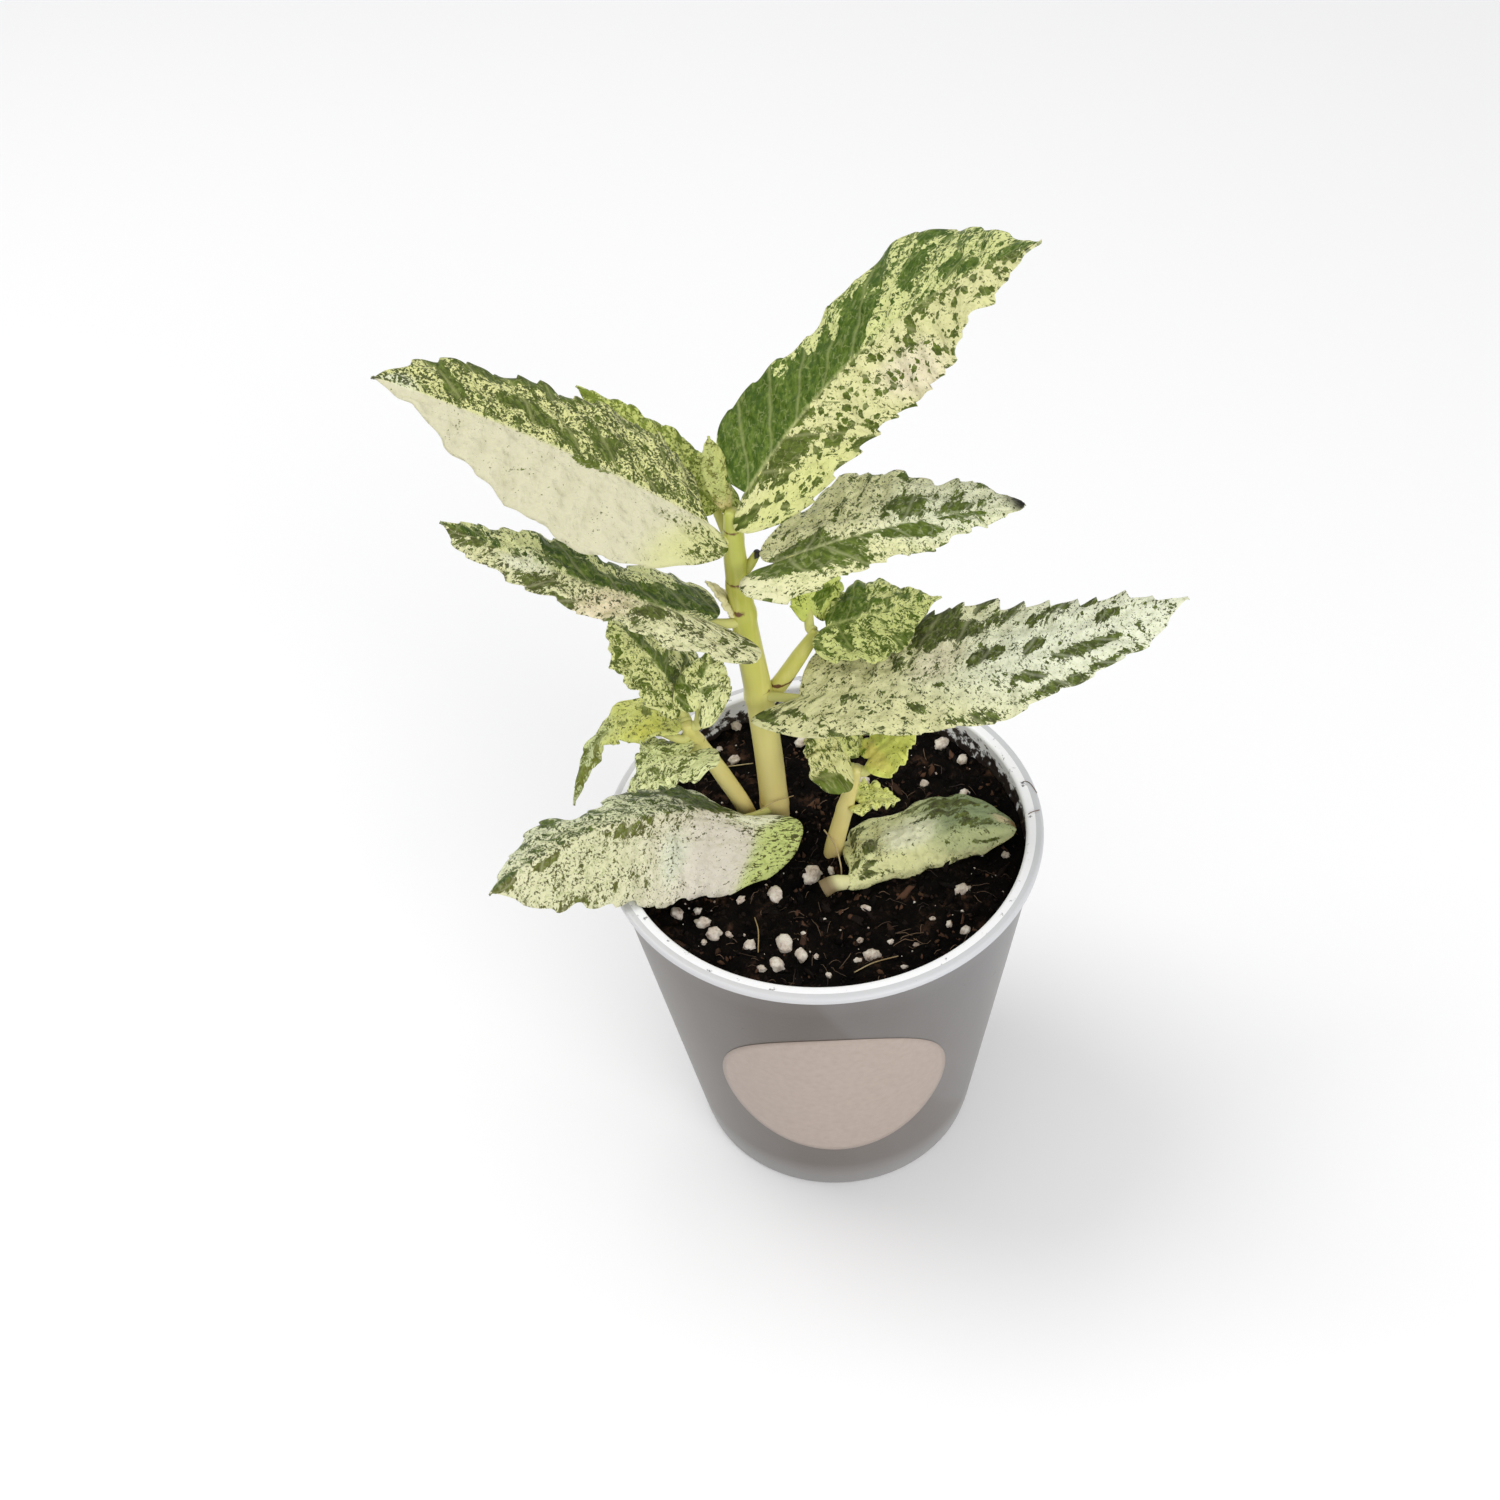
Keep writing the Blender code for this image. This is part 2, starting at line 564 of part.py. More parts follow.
def blade_grid(spec, rows_per_tooth, columns):
    """The blade's middle surface in millimetres: (rows, 2 * columns + 1, 3)."""
    rows = spec["teeth"] * rows_per_tooth + 1
    index = np.arange(rows)
    t = index / (rows - 1)
    centre, along, left, normal = midrib(spec, t)
    chord = np.subtract(spec["tip"], spec["base"])
    length = np.linalg.norm(chord)
    tip = t >= 1
    grid = np.zeros((rows, 2 * columns + 1, 3))
    grid[:, columns] = centre
    for sign, side in ((1, 0), (-1, 1)):
        saw = ((index + side * rows_per_tooth / 2) % rows_per_tooth) / rows_per_tooth
        saw = np.where(tip | (t < 0.08), 0, saw)
        full = half_width(spec, t, side)
        back = spec["lobes"][side] * np.clip(1 - t / 0.30, 0, 1) ** 1.5
        for c in range(1, columns + 1):
            s = c / columns
            reach = full * s * (1 + spec["tooth"][side] * (2 * saw - 0.5) * s**4)
            fold, curl = math.radians(spec["fold"][side]), math.radians(spec["curl"][side])
            out = (math.sin(fold + curl * s) - math.sin(fold)) / (curl * s)
            down = (math.cos(fold) - math.cos(fold + curl * s)) / (curl * s)
            lift = spec["ruffle"] * s**2 * np.sin(
                2 * np.pi * (t * spec["teeth"] * 0.33 + 0.37 * side)
            )
            lift = lift * np.clip(t / 0.1, 0, 1) * np.clip((1 - t) / 0.1, 0, 1)
            forward = 0.5 * saw * length / rows * s**4
            grid[:, columns + sign * c] = (
                centre
                + sign * left * (reach * out)[:, None]
                + normal * (lift - reach * down)[:, None]
                + along * forward[:, None]
                - unit(chord) * (back * (1 - (1 - s) ** spec["ear"]))[:, None]
            )
    return grid


def grid_normals(grid):
    down_rows = np.gradient(grid, axis=0)
    across = np.gradient(grid, axis=1)
    normals = np.cross(down_rows, across)
    return normals / np.maximum(np.linalg.norm(normals, axis=2), 1e-9)[..., None]


def build_blade(name, spec):
    """The blade as a closed plate, split into the same triangles above and below."""
    grid = blade_grid(spec, ROWS_PER_TOOTH, BLADE_COLUMNS)
    rows, columns = grid.shape[:2]
    rows -= 1
    tip = grid[-1, BLADE_COLUMNS]
    normals = grid_normals(grid)[:-1]
    half = BLADE_THICKNESS / MM / 2
    body = grid[:-1]
    points = []
    for sign in (1, -1):
        points.extend((body + sign * half * normals).reshape(-1, 3))
    points.append(tip)
    tip_index = len(points) - 1
    layer = rows * columns

    def at(side, r, c):
        return side * layer + r * columns + c

    faces = []
    for side in (0, 1):
        for r in range(rows - 1):
            for c in range(columns - 1):
                a, b = at(side, r, c), at(side, r, c + 1)
                d, e = at(side, r + 1, c), at(side, r + 1, c + 1)
                if c < columns // 2:
                    faces += [(a, b, e), (a, e, d)]
                else:
                    faces += [(a, b, d), (b, e, d)]
        for c in range(columns - 1):
            faces.append((at(side, rows - 1, c), at(side, rows - 1, c + 1), tip_index))
    for r in range(rows - 1):
        for c in (0, columns - 1):
            a, b = at(0, r, c), at(0, r + 1, c)
            d, e = at(1, r, c), at(1, r + 1, c)
            faces += [(a, b, e), (a, e, d)]
    for c in (0, columns - 1):
        faces.append((at(0, rows - 1, c), at(1, rows - 1, c), tip_index))
    for c in range(columns - 1):
        a, b = at(0, 0, c), at(0, 0, c + 1)
        d, e = at(1, 0, c), at(1, 0, c + 1)
        faces += [(a, b, e), (a, e, d)]
    return add_object(name, np.array(points) * MM, faces, spec["finish"])


def petiole_path(spec):
    """The leaf stalk, from just outside its stem's skin to under the blade's start."""
    base = np.array(spec["base"], float)
    if spec["stem"] is None:
        heading = unit(np.array(spec["tip"], float) - base)
        return [base - heading * 6.5 - np.array([0, 0, 0.6]), base - heading * 3]
    stem, height = spec["stem"]
    path, radii = stem_line(RIGHT_BRANCH if stem == "right_branch" else STEMS[stem], 12)
    nearest = int(np.argmin(abs(path[:, 2] - height)))
    tangent = unit(np.gradient(path, axis=0)[nearest])
    away = base - path[nearest]
    away = unit(away - tangent * np.dot(away, tangent))
    start = path[nearest] + away * (radii[nearest] + GAP / MM)
    return [start, start + away * 0.8]


def build_leaf(name, spec):
    blade = build_blade(name, spec)
    if not spec["petiole"]:
        return blade
    share = np.linspace(0.03, 0.72, 6)
    centre, _, _, normal = midrib(spec, share)
    radii = spec["petiole"] * np.linspace(0.85, 0.4, len(share))
    under = [c - n * r * 0.8 for c, n, r in zip(centre, normal, radii)]
    stalk = petiole_path(spec)
    path = np.array([*stalk, *under])
    radii = np.array([spec["petiole"]] * len(stalk) + list(radii))
    rib = tube("rib", path * MM, radii * MM, 6, spec["finish"])
    apply_boolean(blade, [rib], "UNION")
    return blade


def main():
    clear_scene()
    build_pot()
    build_label()
    build_soil()
    build_stems()
    for name, spec in LEAVES.items():
        build_leaf(name, spec)


main()
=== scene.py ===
import math
import random

import bmesh
import bpy
import numpy as np
from mathutils import Matrix, Vector, noise


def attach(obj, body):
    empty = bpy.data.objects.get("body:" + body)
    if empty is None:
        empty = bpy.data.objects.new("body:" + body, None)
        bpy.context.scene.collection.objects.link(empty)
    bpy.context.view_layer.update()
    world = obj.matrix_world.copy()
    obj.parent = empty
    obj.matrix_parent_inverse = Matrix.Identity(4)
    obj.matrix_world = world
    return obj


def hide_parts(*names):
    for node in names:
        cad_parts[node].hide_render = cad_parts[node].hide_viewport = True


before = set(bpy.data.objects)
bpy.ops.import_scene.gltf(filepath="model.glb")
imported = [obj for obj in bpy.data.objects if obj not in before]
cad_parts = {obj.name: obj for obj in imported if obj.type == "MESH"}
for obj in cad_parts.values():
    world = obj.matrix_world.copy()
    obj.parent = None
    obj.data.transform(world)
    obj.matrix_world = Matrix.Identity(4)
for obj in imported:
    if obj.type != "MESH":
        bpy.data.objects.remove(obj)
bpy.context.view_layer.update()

# Camera: it looks down at the plant from the front at about 45 degrees, with a slight roll. It
# stands about 0.4 m away from the plant's middle.
MM = 0.001


def placed(name, data):
    """A new object in the scene that shows the data."""
    made = bpy.data.objects.new(name, data)
    bpy.context.scene.collection.objects.link(made)
    return made


camera_data = bpy.data.cameras.new("camera")
camera_data.lens = 48
camera_data.sensor_width = 36
camera = placed("camera", camera_data)
camera_right = Vector((0.99592, -0.06426, -0.06330))
camera_up = Vector((0.09020, 0.70952, 0.69888))
camera_back = Vector((0.0, -0.70174, 0.71243))
camera_turn = Matrix((camera_right, camera_up, camera_back)).transposed().to_4x4()
camera.matrix_world = Matrix.Translation(Vector((-13.39, -275.73, 389.50)) * MM) @ camera_turn
bpy.context.scene.camera = camera
bpy.context.scene.view_settings.view_transform = "Standard"


# Studio: a plain pale floor, a bright even sky and two large soft lamps. One lamp is behind at the
# left and high up, and the other in front at the right and lower.
def linear(red, green, blue):
    """A colour given as screen values from 0 to 255, as the shader takes it."""
    made = []
    for value in (red, green, blue):
        value = value / 255
        made.append(value / 12.92 if value <= 0.04045 else ((value + 0.055) / 1.055) ** 2.4)
    return (*made, 1.0)


def new_material(name, **inputs):
    """A material, its tree and its shader with inputs set; what follows adds to this tree."""
    material = bpy.data.materials.new(name)
    material.use_nodes = True
    shader = material.node_tree.nodes["Principled BSDF"]
    for label, value in inputs.items():
        shader.inputs[label.replace("_", " ")].default_value = value
    return material, material.node_tree, shader


def node(kind, inputs=(), **settings):
    """A node in the newest tree, its inputs (a dictionary or a row of them) set or linked."""
    made = tree.nodes.new(kind)
    for name, value in settings.items():
        setattr(made, name, value)
    rows = inputs.items() if isinstance(inputs, dict) else enumerate(inputs)
    for where, value in rows:
        if isinstance(value, bpy.types.NodeSocket):
            tree.links.new(value, made.inputs[where])
        else:
            made.inputs[where].default_value = value
    return made.outputs


def mottle(vector, scale, detail=2.0, roughness=0.5, distortion=0.0, output="Fac"):
    """A noise, as a value from 0 to 1 or as a colour."""
    inputs = {"Vector": vector, "Scale": scale, "Detail": detail}
    inputs.update({"Roughness": roughness, "Distortion": distortion})
    return node("ShaderNodeTexNoise", inputs)[output]


def object_place(stretch=(1, 1, 1)):
    """The place on the piece, in metres, stretched if asked."""
    place = node("ShaderNodeTexCoord")["Object"]
    return node("ShaderNodeMapping", {"Vector": place, "Scale": stretch})["Vector"]


def bumped(height, strength, distance):
    """Gives the shader a relief that stands distance millimetres high."""
    inputs = {"Height": height, "Strength": strength, "Distance": distance * MM}
    tree.links.new(node("ShaderNodeBump", inputs)["Normal"], shader.inputs["Normal"])


white = linear(250, 250, 250)
floor_paint, tree, shader = new_material("floor_paint", Roughness=0.6, Base_Color=white)
bumped(mottle(object_place(), 3.0), 0.02, 1.0)
floor_mesh = bpy.data.meshes.new("floor")
floor_mesh.from_pydata([(-3, -3, 0), (3, -3, 0), (3, 3, 0), (-3, 3, 0)], [], [(0, 1, 2, 3)])
floor_mesh.materials.append(floor_paint)
floor = placed("floor", floor_mesh)

sky = bpy.data.worlds.new("sky")
sky.use_nodes = True
sky.node_tree.nodes["Background"].inputs["Color"].default_value = (0.99, 0.99, 1.0, 1)
sky.node_tree.nodes["Background"].inputs["Strength"].default_value = 0.70
bpy.context.scene.world = sky
for name, place, size, power in (
    ("key_lamp", (-0.45, 0.25, 1.0), 0.6, 3.8),
    ("fill_lamp", (0.45, -0.9, 0.55), 0.8, 5.0),
):
    lamp_data = bpy.data.lights.new(name, "AREA")
    lamp_data.shape = "DISK"
    lamp_data.size = size
    lamp_data.energy = power
    lamp = placed(name, lamp_data)
    lamp.location = place
    aim = Vector((0, 0, 0.1)) - Vector(place)
    lamp.rotation_euler = aim.to_track_quat("-Z", "Y").to_euler()


# Pot: a thin tapered nursery pot moulded in pale translucent polypropylene, with a flat rolled
# rim, a foot ring and five drain holes through its floor.
POT_HEIGHT = 86
POT_BASE_RADIUS = 31
POT_WALL_TOP = 44.1
POT_RIM_RADIUS = 45
POT_WALL = 1.3
POT_SEGMENTS = 144
DRAIN_HOLES = 5
DRAIN_RADIUS = 3
DRAIN_CIRCLE = 17
DRAIN_SEGMENTS = 32


def wall_radius(z):
    """Outer radius of the tapered wall in millimetres at height z in millimetres."""
    return POT_BASE_RADIUS + (POT_WALL_TOP - POT_BASE_RADIUS) * z / POT_HEIGHT


def worked_out(operation, *values):
    return node("ShaderNodeMath", values, operation=operation)[0]


def times(first, second):
    return worked_out("MULTIPLY", first, second)


def ranged(value, low, high, to_low=0.0, to_high=1.0):
    return node("ShaderNodeMapRange", (value, low, high, to_low, to_high))[0]


def blended(factor, first, second):
    return node("ShaderNodeMix", {0: factor, 6: first, 7: second}, data_type="RGBA")[2]


def graded(value, first, last, *between):
    """A colour ramp through (position, red, green, blue) stops."""
    made = tree.nodes.new("ShaderNodeValToRGB")
    stops = made.color_ramp.elements
    for stop, (position, *colour) in ((stops[0], first), (stops[1], last)):
        stop.position = position
        stop.color = linear(*colour)
    for position, *colour in between:
        stops.new(position).color = linear(*colour)
    tree.links.new(value, made.inputs["Fac"])
    return made.outputs["Color"]


def coloured(tint):
    tree.links.new(tint, shader.inputs["Base Color"])


def mesh_piece(name, points, faces, material):
    """A new mesh object from points in millimetres, with its faces turned outwards."""
    mesh = bpy.data.meshes.new(name)
    mesh.from_pydata([tuple(float(k) * MM for k in p) for p in points], [], faces)
    work = bmesh.new()
    work.from_mesh(mesh)
    bmesh.ops.recalc_face_normals(work, faces=work.faces)
    work.to_mesh(mesh)
    work.free()
    mesh.shade_smooth()
    mesh.materials.append(material)
    return placed(name, mesh)


def ring_faces(sizes, start=0):
    """Faces that join rings of points, given by their counts; a ring of one is a pole."""
    around = max(sizes)
    faces = []
    for k in range(around):
        after = (k + 1) % around
        a = start
        for size, next_size in zip(sizes, sizes[1:]):
            b = a + size
            if size == 1:
                faces.append((a, b + k, b + after))
            elif next_size == 1:
                faces.append((a + k, b, a + after))
            else:
                faces.append((a + k, b + k, b + after, a + after))
            a = b
    return faces


def turned(name, profile, segments, material):
    """A closed body turned from (radius, height) points; a radius of 0 is a pole."""
    points, sizes = [], []
    for radius, z in profile:
        sizes.append(segments if radius else 1)
        for k in range(sizes[-1]):
            angle = 2 * math.pi * k / segments
            points.append((radius * math.cos(angle), radius * math.sin(angle), z))
    return mesh_piece(name, points, ring_faces(sizes), material)


def rounded(corner_radius, centre_radius, centre_z, start, end, steps):
    """Points of a small arc in the profile, with its angles in degrees."""
    angles = np.radians(np.linspace(start, end, steps + 1))
    return [
        (centre_radius + corner_radius * math.cos(k), centre_z + corner_radius * math.sin(k))
        for k in angles
    ]


def baked_mesh(piece):
    """Applies the piece's modifiers and leaves it a plain mesh."""
    graph = bpy.context.evaluated_depsgraph_get()
    mesh = bpy.data.meshes.new_from_object(piece.evaluated_get(graph))
    piece.modifiers.clear()
    piece.data = mesh


pot_plastic, tree, shader = new_material(
    "pale_polypropylene", Roughness=0.32, IOR=1.49, Subsurface_Weight=0.15,
    Subsurface_Radius=(1.0, 1.0, 1.1), Subsurface_Scale=0.002,
)
place = object_place()
x, y, z = node("ShaderNodeSeparateXYZ", (place,))
# The wall is greyer where the dark soil stands behind it, and whiter at the foot and the rim:
# painted shade of the soil seen through the translucent plastic.
wall_tint = graded(
    ranged(z, 0.0, POT_HEIGHT * MM),
    (0.0, 138, 136, 135), (1.0, 210, 210, 211),
    (0.06, 122, 118, 115), (0.12, 90, 81, 73), (0.50, 89, 80, 72), (0.90, 80, 71, 63),
    (0.972, 92, 85, 79), (0.984, 196, 196, 197),
)
clouds = mottle(object_place((1, 1, 0.25)), 22, 3)
wall_tint = blended(ranged(clouds, 0.35, 0.65, 0.0, 0.10), wall_tint, linear(196, 196, 198))
# Two soft edges of light slant down its right side.
slant = worked_out("MULTIPLY_ADD", z, 0.45, x)
wall_tint = blended(ranged(slant, 0.031, 0.033, 0.0, 0.07), wall_tint, linear(176, 186, 196))
wall_tint = blended(ranged(slant, 0.045, 0.065, 0.0, 0.08), wall_tint, linear(176, 184, 192))
# The inside of the wall is painted near white: painted light, as if daylight shone through the
# plastic into the shade under the rim. Soil dust and specks cling to it above the soil.
around = worked_out("SQRT", worked_out("ADD", times(x, x), times(y, y)))
wall_slope = (POT_WALL_TOP - POT_BASE_RADIUS) / POT_HEIGHT
wall_middle = worked_out("MULTIPLY_ADD", z, wall_slope, (POT_BASE_RADIUS - 0.7) * MM)
inside = worked_out("LESS_THAN", around, wall_middle)
wall_tint = blended(inside, wall_tint, linear(248, 248, 250))
near_soil = times(ranged(z, 85.5 * MM, 78.0 * MM, 0.07, 0.34), inside)
dust = worked_out("ADD", mottle(place, 420, 5, 0.65), near_soil)
coloured(blended(ranged(dust, 0.69, 0.76), wall_tint, linear(50, 42, 38)))
bumped(mottle(place, 900), 0.06, 0.3)

# Underside and foot ring, wall, rolled rim, then down the inside to the floor.
rim_foot = POT_HEIGHT - 1.5
pot_profile = [
    (0, 1.2), (26.5, 1.2), (27.3, 1.0), (28.2, 0.3),
    *rounded(0.4, 28.8, 0.4, 225, 270, 3),
    *rounded(0.9, 30.1, 0.9, 270, 360, 6),
    *((wall_radius(k), k) for k in (3, 12, 24, 36, 48, 60, 70, 78, 82, rim_foot - 0.4)),
    *rounded(0.4, POT_RIM_RADIUS - 0.4, rim_foot + 0.4, 270, 360, 4),
    *rounded(0.7, POT_RIM_RADIUS - 0.7, POT_HEIGHT - 0.7, 0, 90, 8),
    *rounded(0.8, POT_RIM_RADIUS - 2.8, POT_HEIGHT - 0.8, 90, 180, 7),
    *((wall_radius(k) - POT_WALL, k) for k in (81.5, 79, 72, 60, 40, 20, 6)),
    (wall_radius(3.2) - POT_WALL, 3.4), (wall_radius(2.8) - POT_WALL - 0.5, 2.8), (0, 2.8),
]
pot = turned("nursery_pot", pot_profile, POT_SEGMENTS, pot_plastic)
for k in range(DRAIN_HOLES):
    angle = 2 * math.pi * (k + 0.5) / DRAIN_HOLES
    drill = [(0, -1), (DRAIN_RADIUS, -1), (DRAIN_RADIUS, 5), (0, 5)]
    drain = turned("drain", drill, DRAIN_SEGMENTS, pot_plastic)
    drain.location = Vector((math.cos(angle), math.sin(angle), 0)) * DRAIN_CIRCLE * MM
    bpy.context.view_layer.update()
    cut = pot.modifiers.new("drain", "BOOLEAN")
    cut.operation = "DIFFERENCE"
    cut.solver = "EXACT"
    cut.object = drain
    baked_mesh(pot)
    bpy.data.objects.remove(drain, do_unlink=True)
pot.data.set_sharp_from_angle(angle=math.radians(50))
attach(pot, "root")
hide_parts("pot")


# Sticker: a round pale pink sticker of thin matt paper. It is glued flat round the front of the
# pot's wall and follows its taper.
STICKER_RADIUS = 25
STICKER_HEIGHT = 43.5
STICKER_TURN = math.radians(-93.5)
STICKER_RINGS = 16
STICKER_AROUND = 120
STICKER_BACK = 0.02
STICKER_EDGE = 0.14
STICKER_FACE = 0.22
sticker_paper, tree, shader = new_material("pink_sticker_paper", Roughness=0.45)
fibre = mottle(object_place(), 700, 4)
coloured(graded(fibre, (0.3, 166, 150, 139), (0.7, 173, 158, 147)))
bumped(fibre, 0.08, 0.1)

# Its rings run out over the back, which lies on the wall, and in again over the face.
sticker_back = [(i, STICKER_BACK) for i in range(STICKER_RINGS + 1)]
sticker_face = [(i, STICKER_FACE) for i in range(STICKER_RINGS - 1, -1, -1)]
points, sizes = [], []
for i, lift in (*sticker_back, (STICKER_RINGS, STICKER_EDGE), *sticker_face):
    out = STICKER_RADIUS * i / STICKER_RINGS
    sizes.append(STICKER_AROUND if i else 1)
    for k in range(sizes[-1]):
        angle = 2 * math.pi * k / STICKER_AROUND
        z = STICKER_HEIGHT + out * math.sin(angle)
        turn = STICKER_TURN + out * math.cos(angle) / wall_radius(z)
        radius = wall_radius(z) + lift
        points.append((radius * math.cos(turn), radius * math.sin(turn), z))
sticker = mesh_piece("round_sticker", points, ring_faces(sizes), sticker_paper)
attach(sticker, "root")
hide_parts("label")


# Soil: dark damp potting soil filled to 8 mm under the rim. Its top is a lumpy crust of crumbs
# and bark; the stems stand in it.
SOIL_TOP = 78
SOIL_RINGS = 120
SOIL_AROUND = 360
SOIL_RADIUS = wall_radius(SOIL_TOP) - POT_WALL - 0.1


def crust(x, y):
    """The soil's top in millimetres: long low swells with crumbs and pits."""
    swell = math.sin(0.31 * x + 0.8) + math.sin(0.37 * y + 0.4 * x) + math.sin(0.23 * x - 0.41 * y)
    place = Vector((x, y, 0))
    lumps = noise.fractal(place * 0.55, 0.9, 2.1, 4)
    pits = noise.noise(place * 0.17 + Vector((7, 3, 1)))
    return SOIL_TOP + 0.2 * swell + 0.75 * lumps + 0.6 * pits


def crust_points(rings, around, reach, spacing=1.0, twist=0.0):
    """The crust's middle, then rings of points out to its reach."""
    points = [(0, 0, crust(0, 0))]
    for i in range(1, rings + 1):
        out = reach * (i / rings) ** spacing
        for k in range(around):
            angle = 2 * math.pi * (k + twist * (i % 2)) / around
            x, y = out * math.cos(angle), out * math.sin(angle)
            points.append((x, y, crust(x, y)))
    return points


soil_earth, tree, shader = new_material("damp_potting_soil", Roughness=0.9, Specular_IOR_Level=0.06)
place = object_place()
coloured(graded(mottle(place, 160, 6, 0.7), (0.34, 4, 3, 3), (0.76, 86, 62, 47), (0.57, 17, 13, 10)))
bumped(mottle(place, 900, 4), 0.6, 0.5)

soil_depths = (70, 45, 4.2)
points = crust_points(SOIL_RINGS, SOIL_AROUND, SOIL_RADIUS, 0.8, 0.5)
for z in soil_depths:
    radius = wall_radius(z) - POT_WALL - 0.2
    for k in range(SOIL_AROUND):
        angle = 2 * math.pi * k / SOIL_AROUND
        points.append((radius * math.cos(angle), radius * math.sin(angle), z))
points.append((0, 0, soil_depths[-1]))
soil_sizes = [1, *[SOIL_AROUND] * (SOIL_RINGS + len(soil_depths)), 1]
soil = mesh_piece("potting_soil", points, ring_faces(soil_sizes), soil_earth)
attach(soil, "root")
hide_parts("soil")


# Crumbs and bark chips: loose dark brown bits of the potting mix. They lie scattered over the
# soil's top, half sunk in its crust.
def lump_mesh(name, subdivisions, unevenness, seed, stretch=(1, 1, 1)):
    """A rough grain about 1 mm in radius, as a mesh."""
    work = bmesh.new()
    bmesh.ops.create_icosphere(work, subdivisions=subdivisions, radius=1)
    for vertex in work.verts:
        wave = noise.noise(vertex.co * 1.6 + Vector((seed, 0, 0)))
        fine = noise.noise(vertex.co * 4.1 + Vector((0, seed, 0)))
        vertex.co = vertex.co * (1 + unevenness * wave + 0.35 * unevenness * fine)
        vertex.co = Vector([k * s * MM for k, s in zip(vertex.co, stretch)])
    mesh = bpy.data.meshes.new(name)
    work.to_mesh(mesh)
    work.free()
    mesh.shade_smooth()
    return mesh


# Geometry nodes: grains of random size and turn over a surface, as one mesh.
tree = scatter = bpy.data.node_groups.new("grain_scatter", "GeometryNodeTree")
for label, kind in (
    ("Surface", "Geometry"), ("Grain", "Object"), ("Count per square metre", "Float"),
    ("Smallest", "Float"), ("Largest", "Float"), ("Seed", "Int"), ("Finish", "Material"),
):
    scatter.interface.new_socket(label, in_out="INPUT", socket_type="NodeSocket" + kind)
scatter.interface.new_socket("Grains", in_out="OUTPUT", socket_type="NodeSocketGeometry")
given = node("NodeGroupInput")
surface, grain, count, smallest, largest, seed, finish = given[:7]
inputs = {"Mesh": surface, "Density": count, "Seed": seed}
spots = node("GeometryNodeDistributePointsOnFaces", inputs)["Points"]
grain = node("GeometryNodeObjectInfo", {"Object": grain})["Geometry"]
inputs = {"Max": (6.28, 6.28, 6.28), "Seed": seed}
turn = node("FunctionNodeRandomValue", inputs, data_type="FLOAT_VECTOR")["Value"]
inputs = {2: smallest, 3: largest, "Seed": seed}
size = node("FunctionNodeRandomValue", inputs, data_type="FLOAT")[1]
inputs = {"Points": spots, "Instance": grain, "Rotation": turn, "Scale": size}
grains = node("GeometryNodeInstanceOnPoints", inputs)["Instances"]
grains = node("GeometryNodeRealizeInstances", (grains,))["Geometry"]
grains = node("GeometryNodeSetMaterial", {"Geometry": grains, "Material": finish})["Geometry"]
node("NodeGroupOutput", {"Grains": grains})


def scattered(name, grain_mesh, count, smallest, largest, seed, material):
    """A plain mesh piece of grains scattered over the crust."""
    grain = placed(name + "_grain", grain_mesh)
    piece = placed(name, crust_mesh.copy())
    modifier = piece.modifiers.new("scatter", "NODES")
    modifier.node_group = scatter
    values = (grain, count, smallest, largest, seed, material)
    sockets = [k for k in scatter.interface.items_tree if k.in_out == "INPUT"]
    for socket, value in zip(sockets[1:], values):
        modifier[socket.identifier] = value
    baked_mesh(piece)
    bpy.data.objects.remove(grain, do_unlink=True)
    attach(piece, "root")


SPREAD_RINGS = 24
SPREAD_AROUND = 72
points = crust_points(SPREAD_RINGS, SPREAD_AROUND, SOIL_RADIUS - 1.0)
crust_mesh = bpy.data.meshes.new("crust_surface")
crust_mesh.from_pydata(
    [tuple(k * MM for k in p) for p in points], [], ring_faces([1, *[SPREAD_AROUND] * SPREAD_RINGS])
)


def cells(vector, scale, feature="F1"):
    """A pattern of cells."""
    return node("ShaderNodeTexVoronoi", {"Vector": vector, "Scale": scale}, feature=feature)


def cell_values(pattern):
    """Random values from 0 to 1, one for each cell."""
    return node("ShaderNodeSeparateColor", (pattern["Color"],))


bark_brown, tree, shader = new_material("bark_and_crumbs", Roughness=0.82, Specular_IOR_Level=0.12)
place = object_place()
bark = cell_values(cells(place, 330))[0]
coloured(graded(bark, (0.0, 9, 6, 5), (1.0, 90, 64, 48), (0.72, 29, 21, 17)))
bumped(mottle(place, 1500), 0.5, 0.3)
crumb = lump_mesh("crumb", 1, 0.9, 3, (1, 0.8, 0.6))
scattered("soil_crumbs", crumb, 230000, 0.25, 0.85, 11, bark_brown)
chip = lump_mesh("chip", 2, 0.8, 5, (2.6, 0.9, 0.4))
scattered("bark_chips", chip, 14000, 0.5, 1.15, 4, bark_brown)


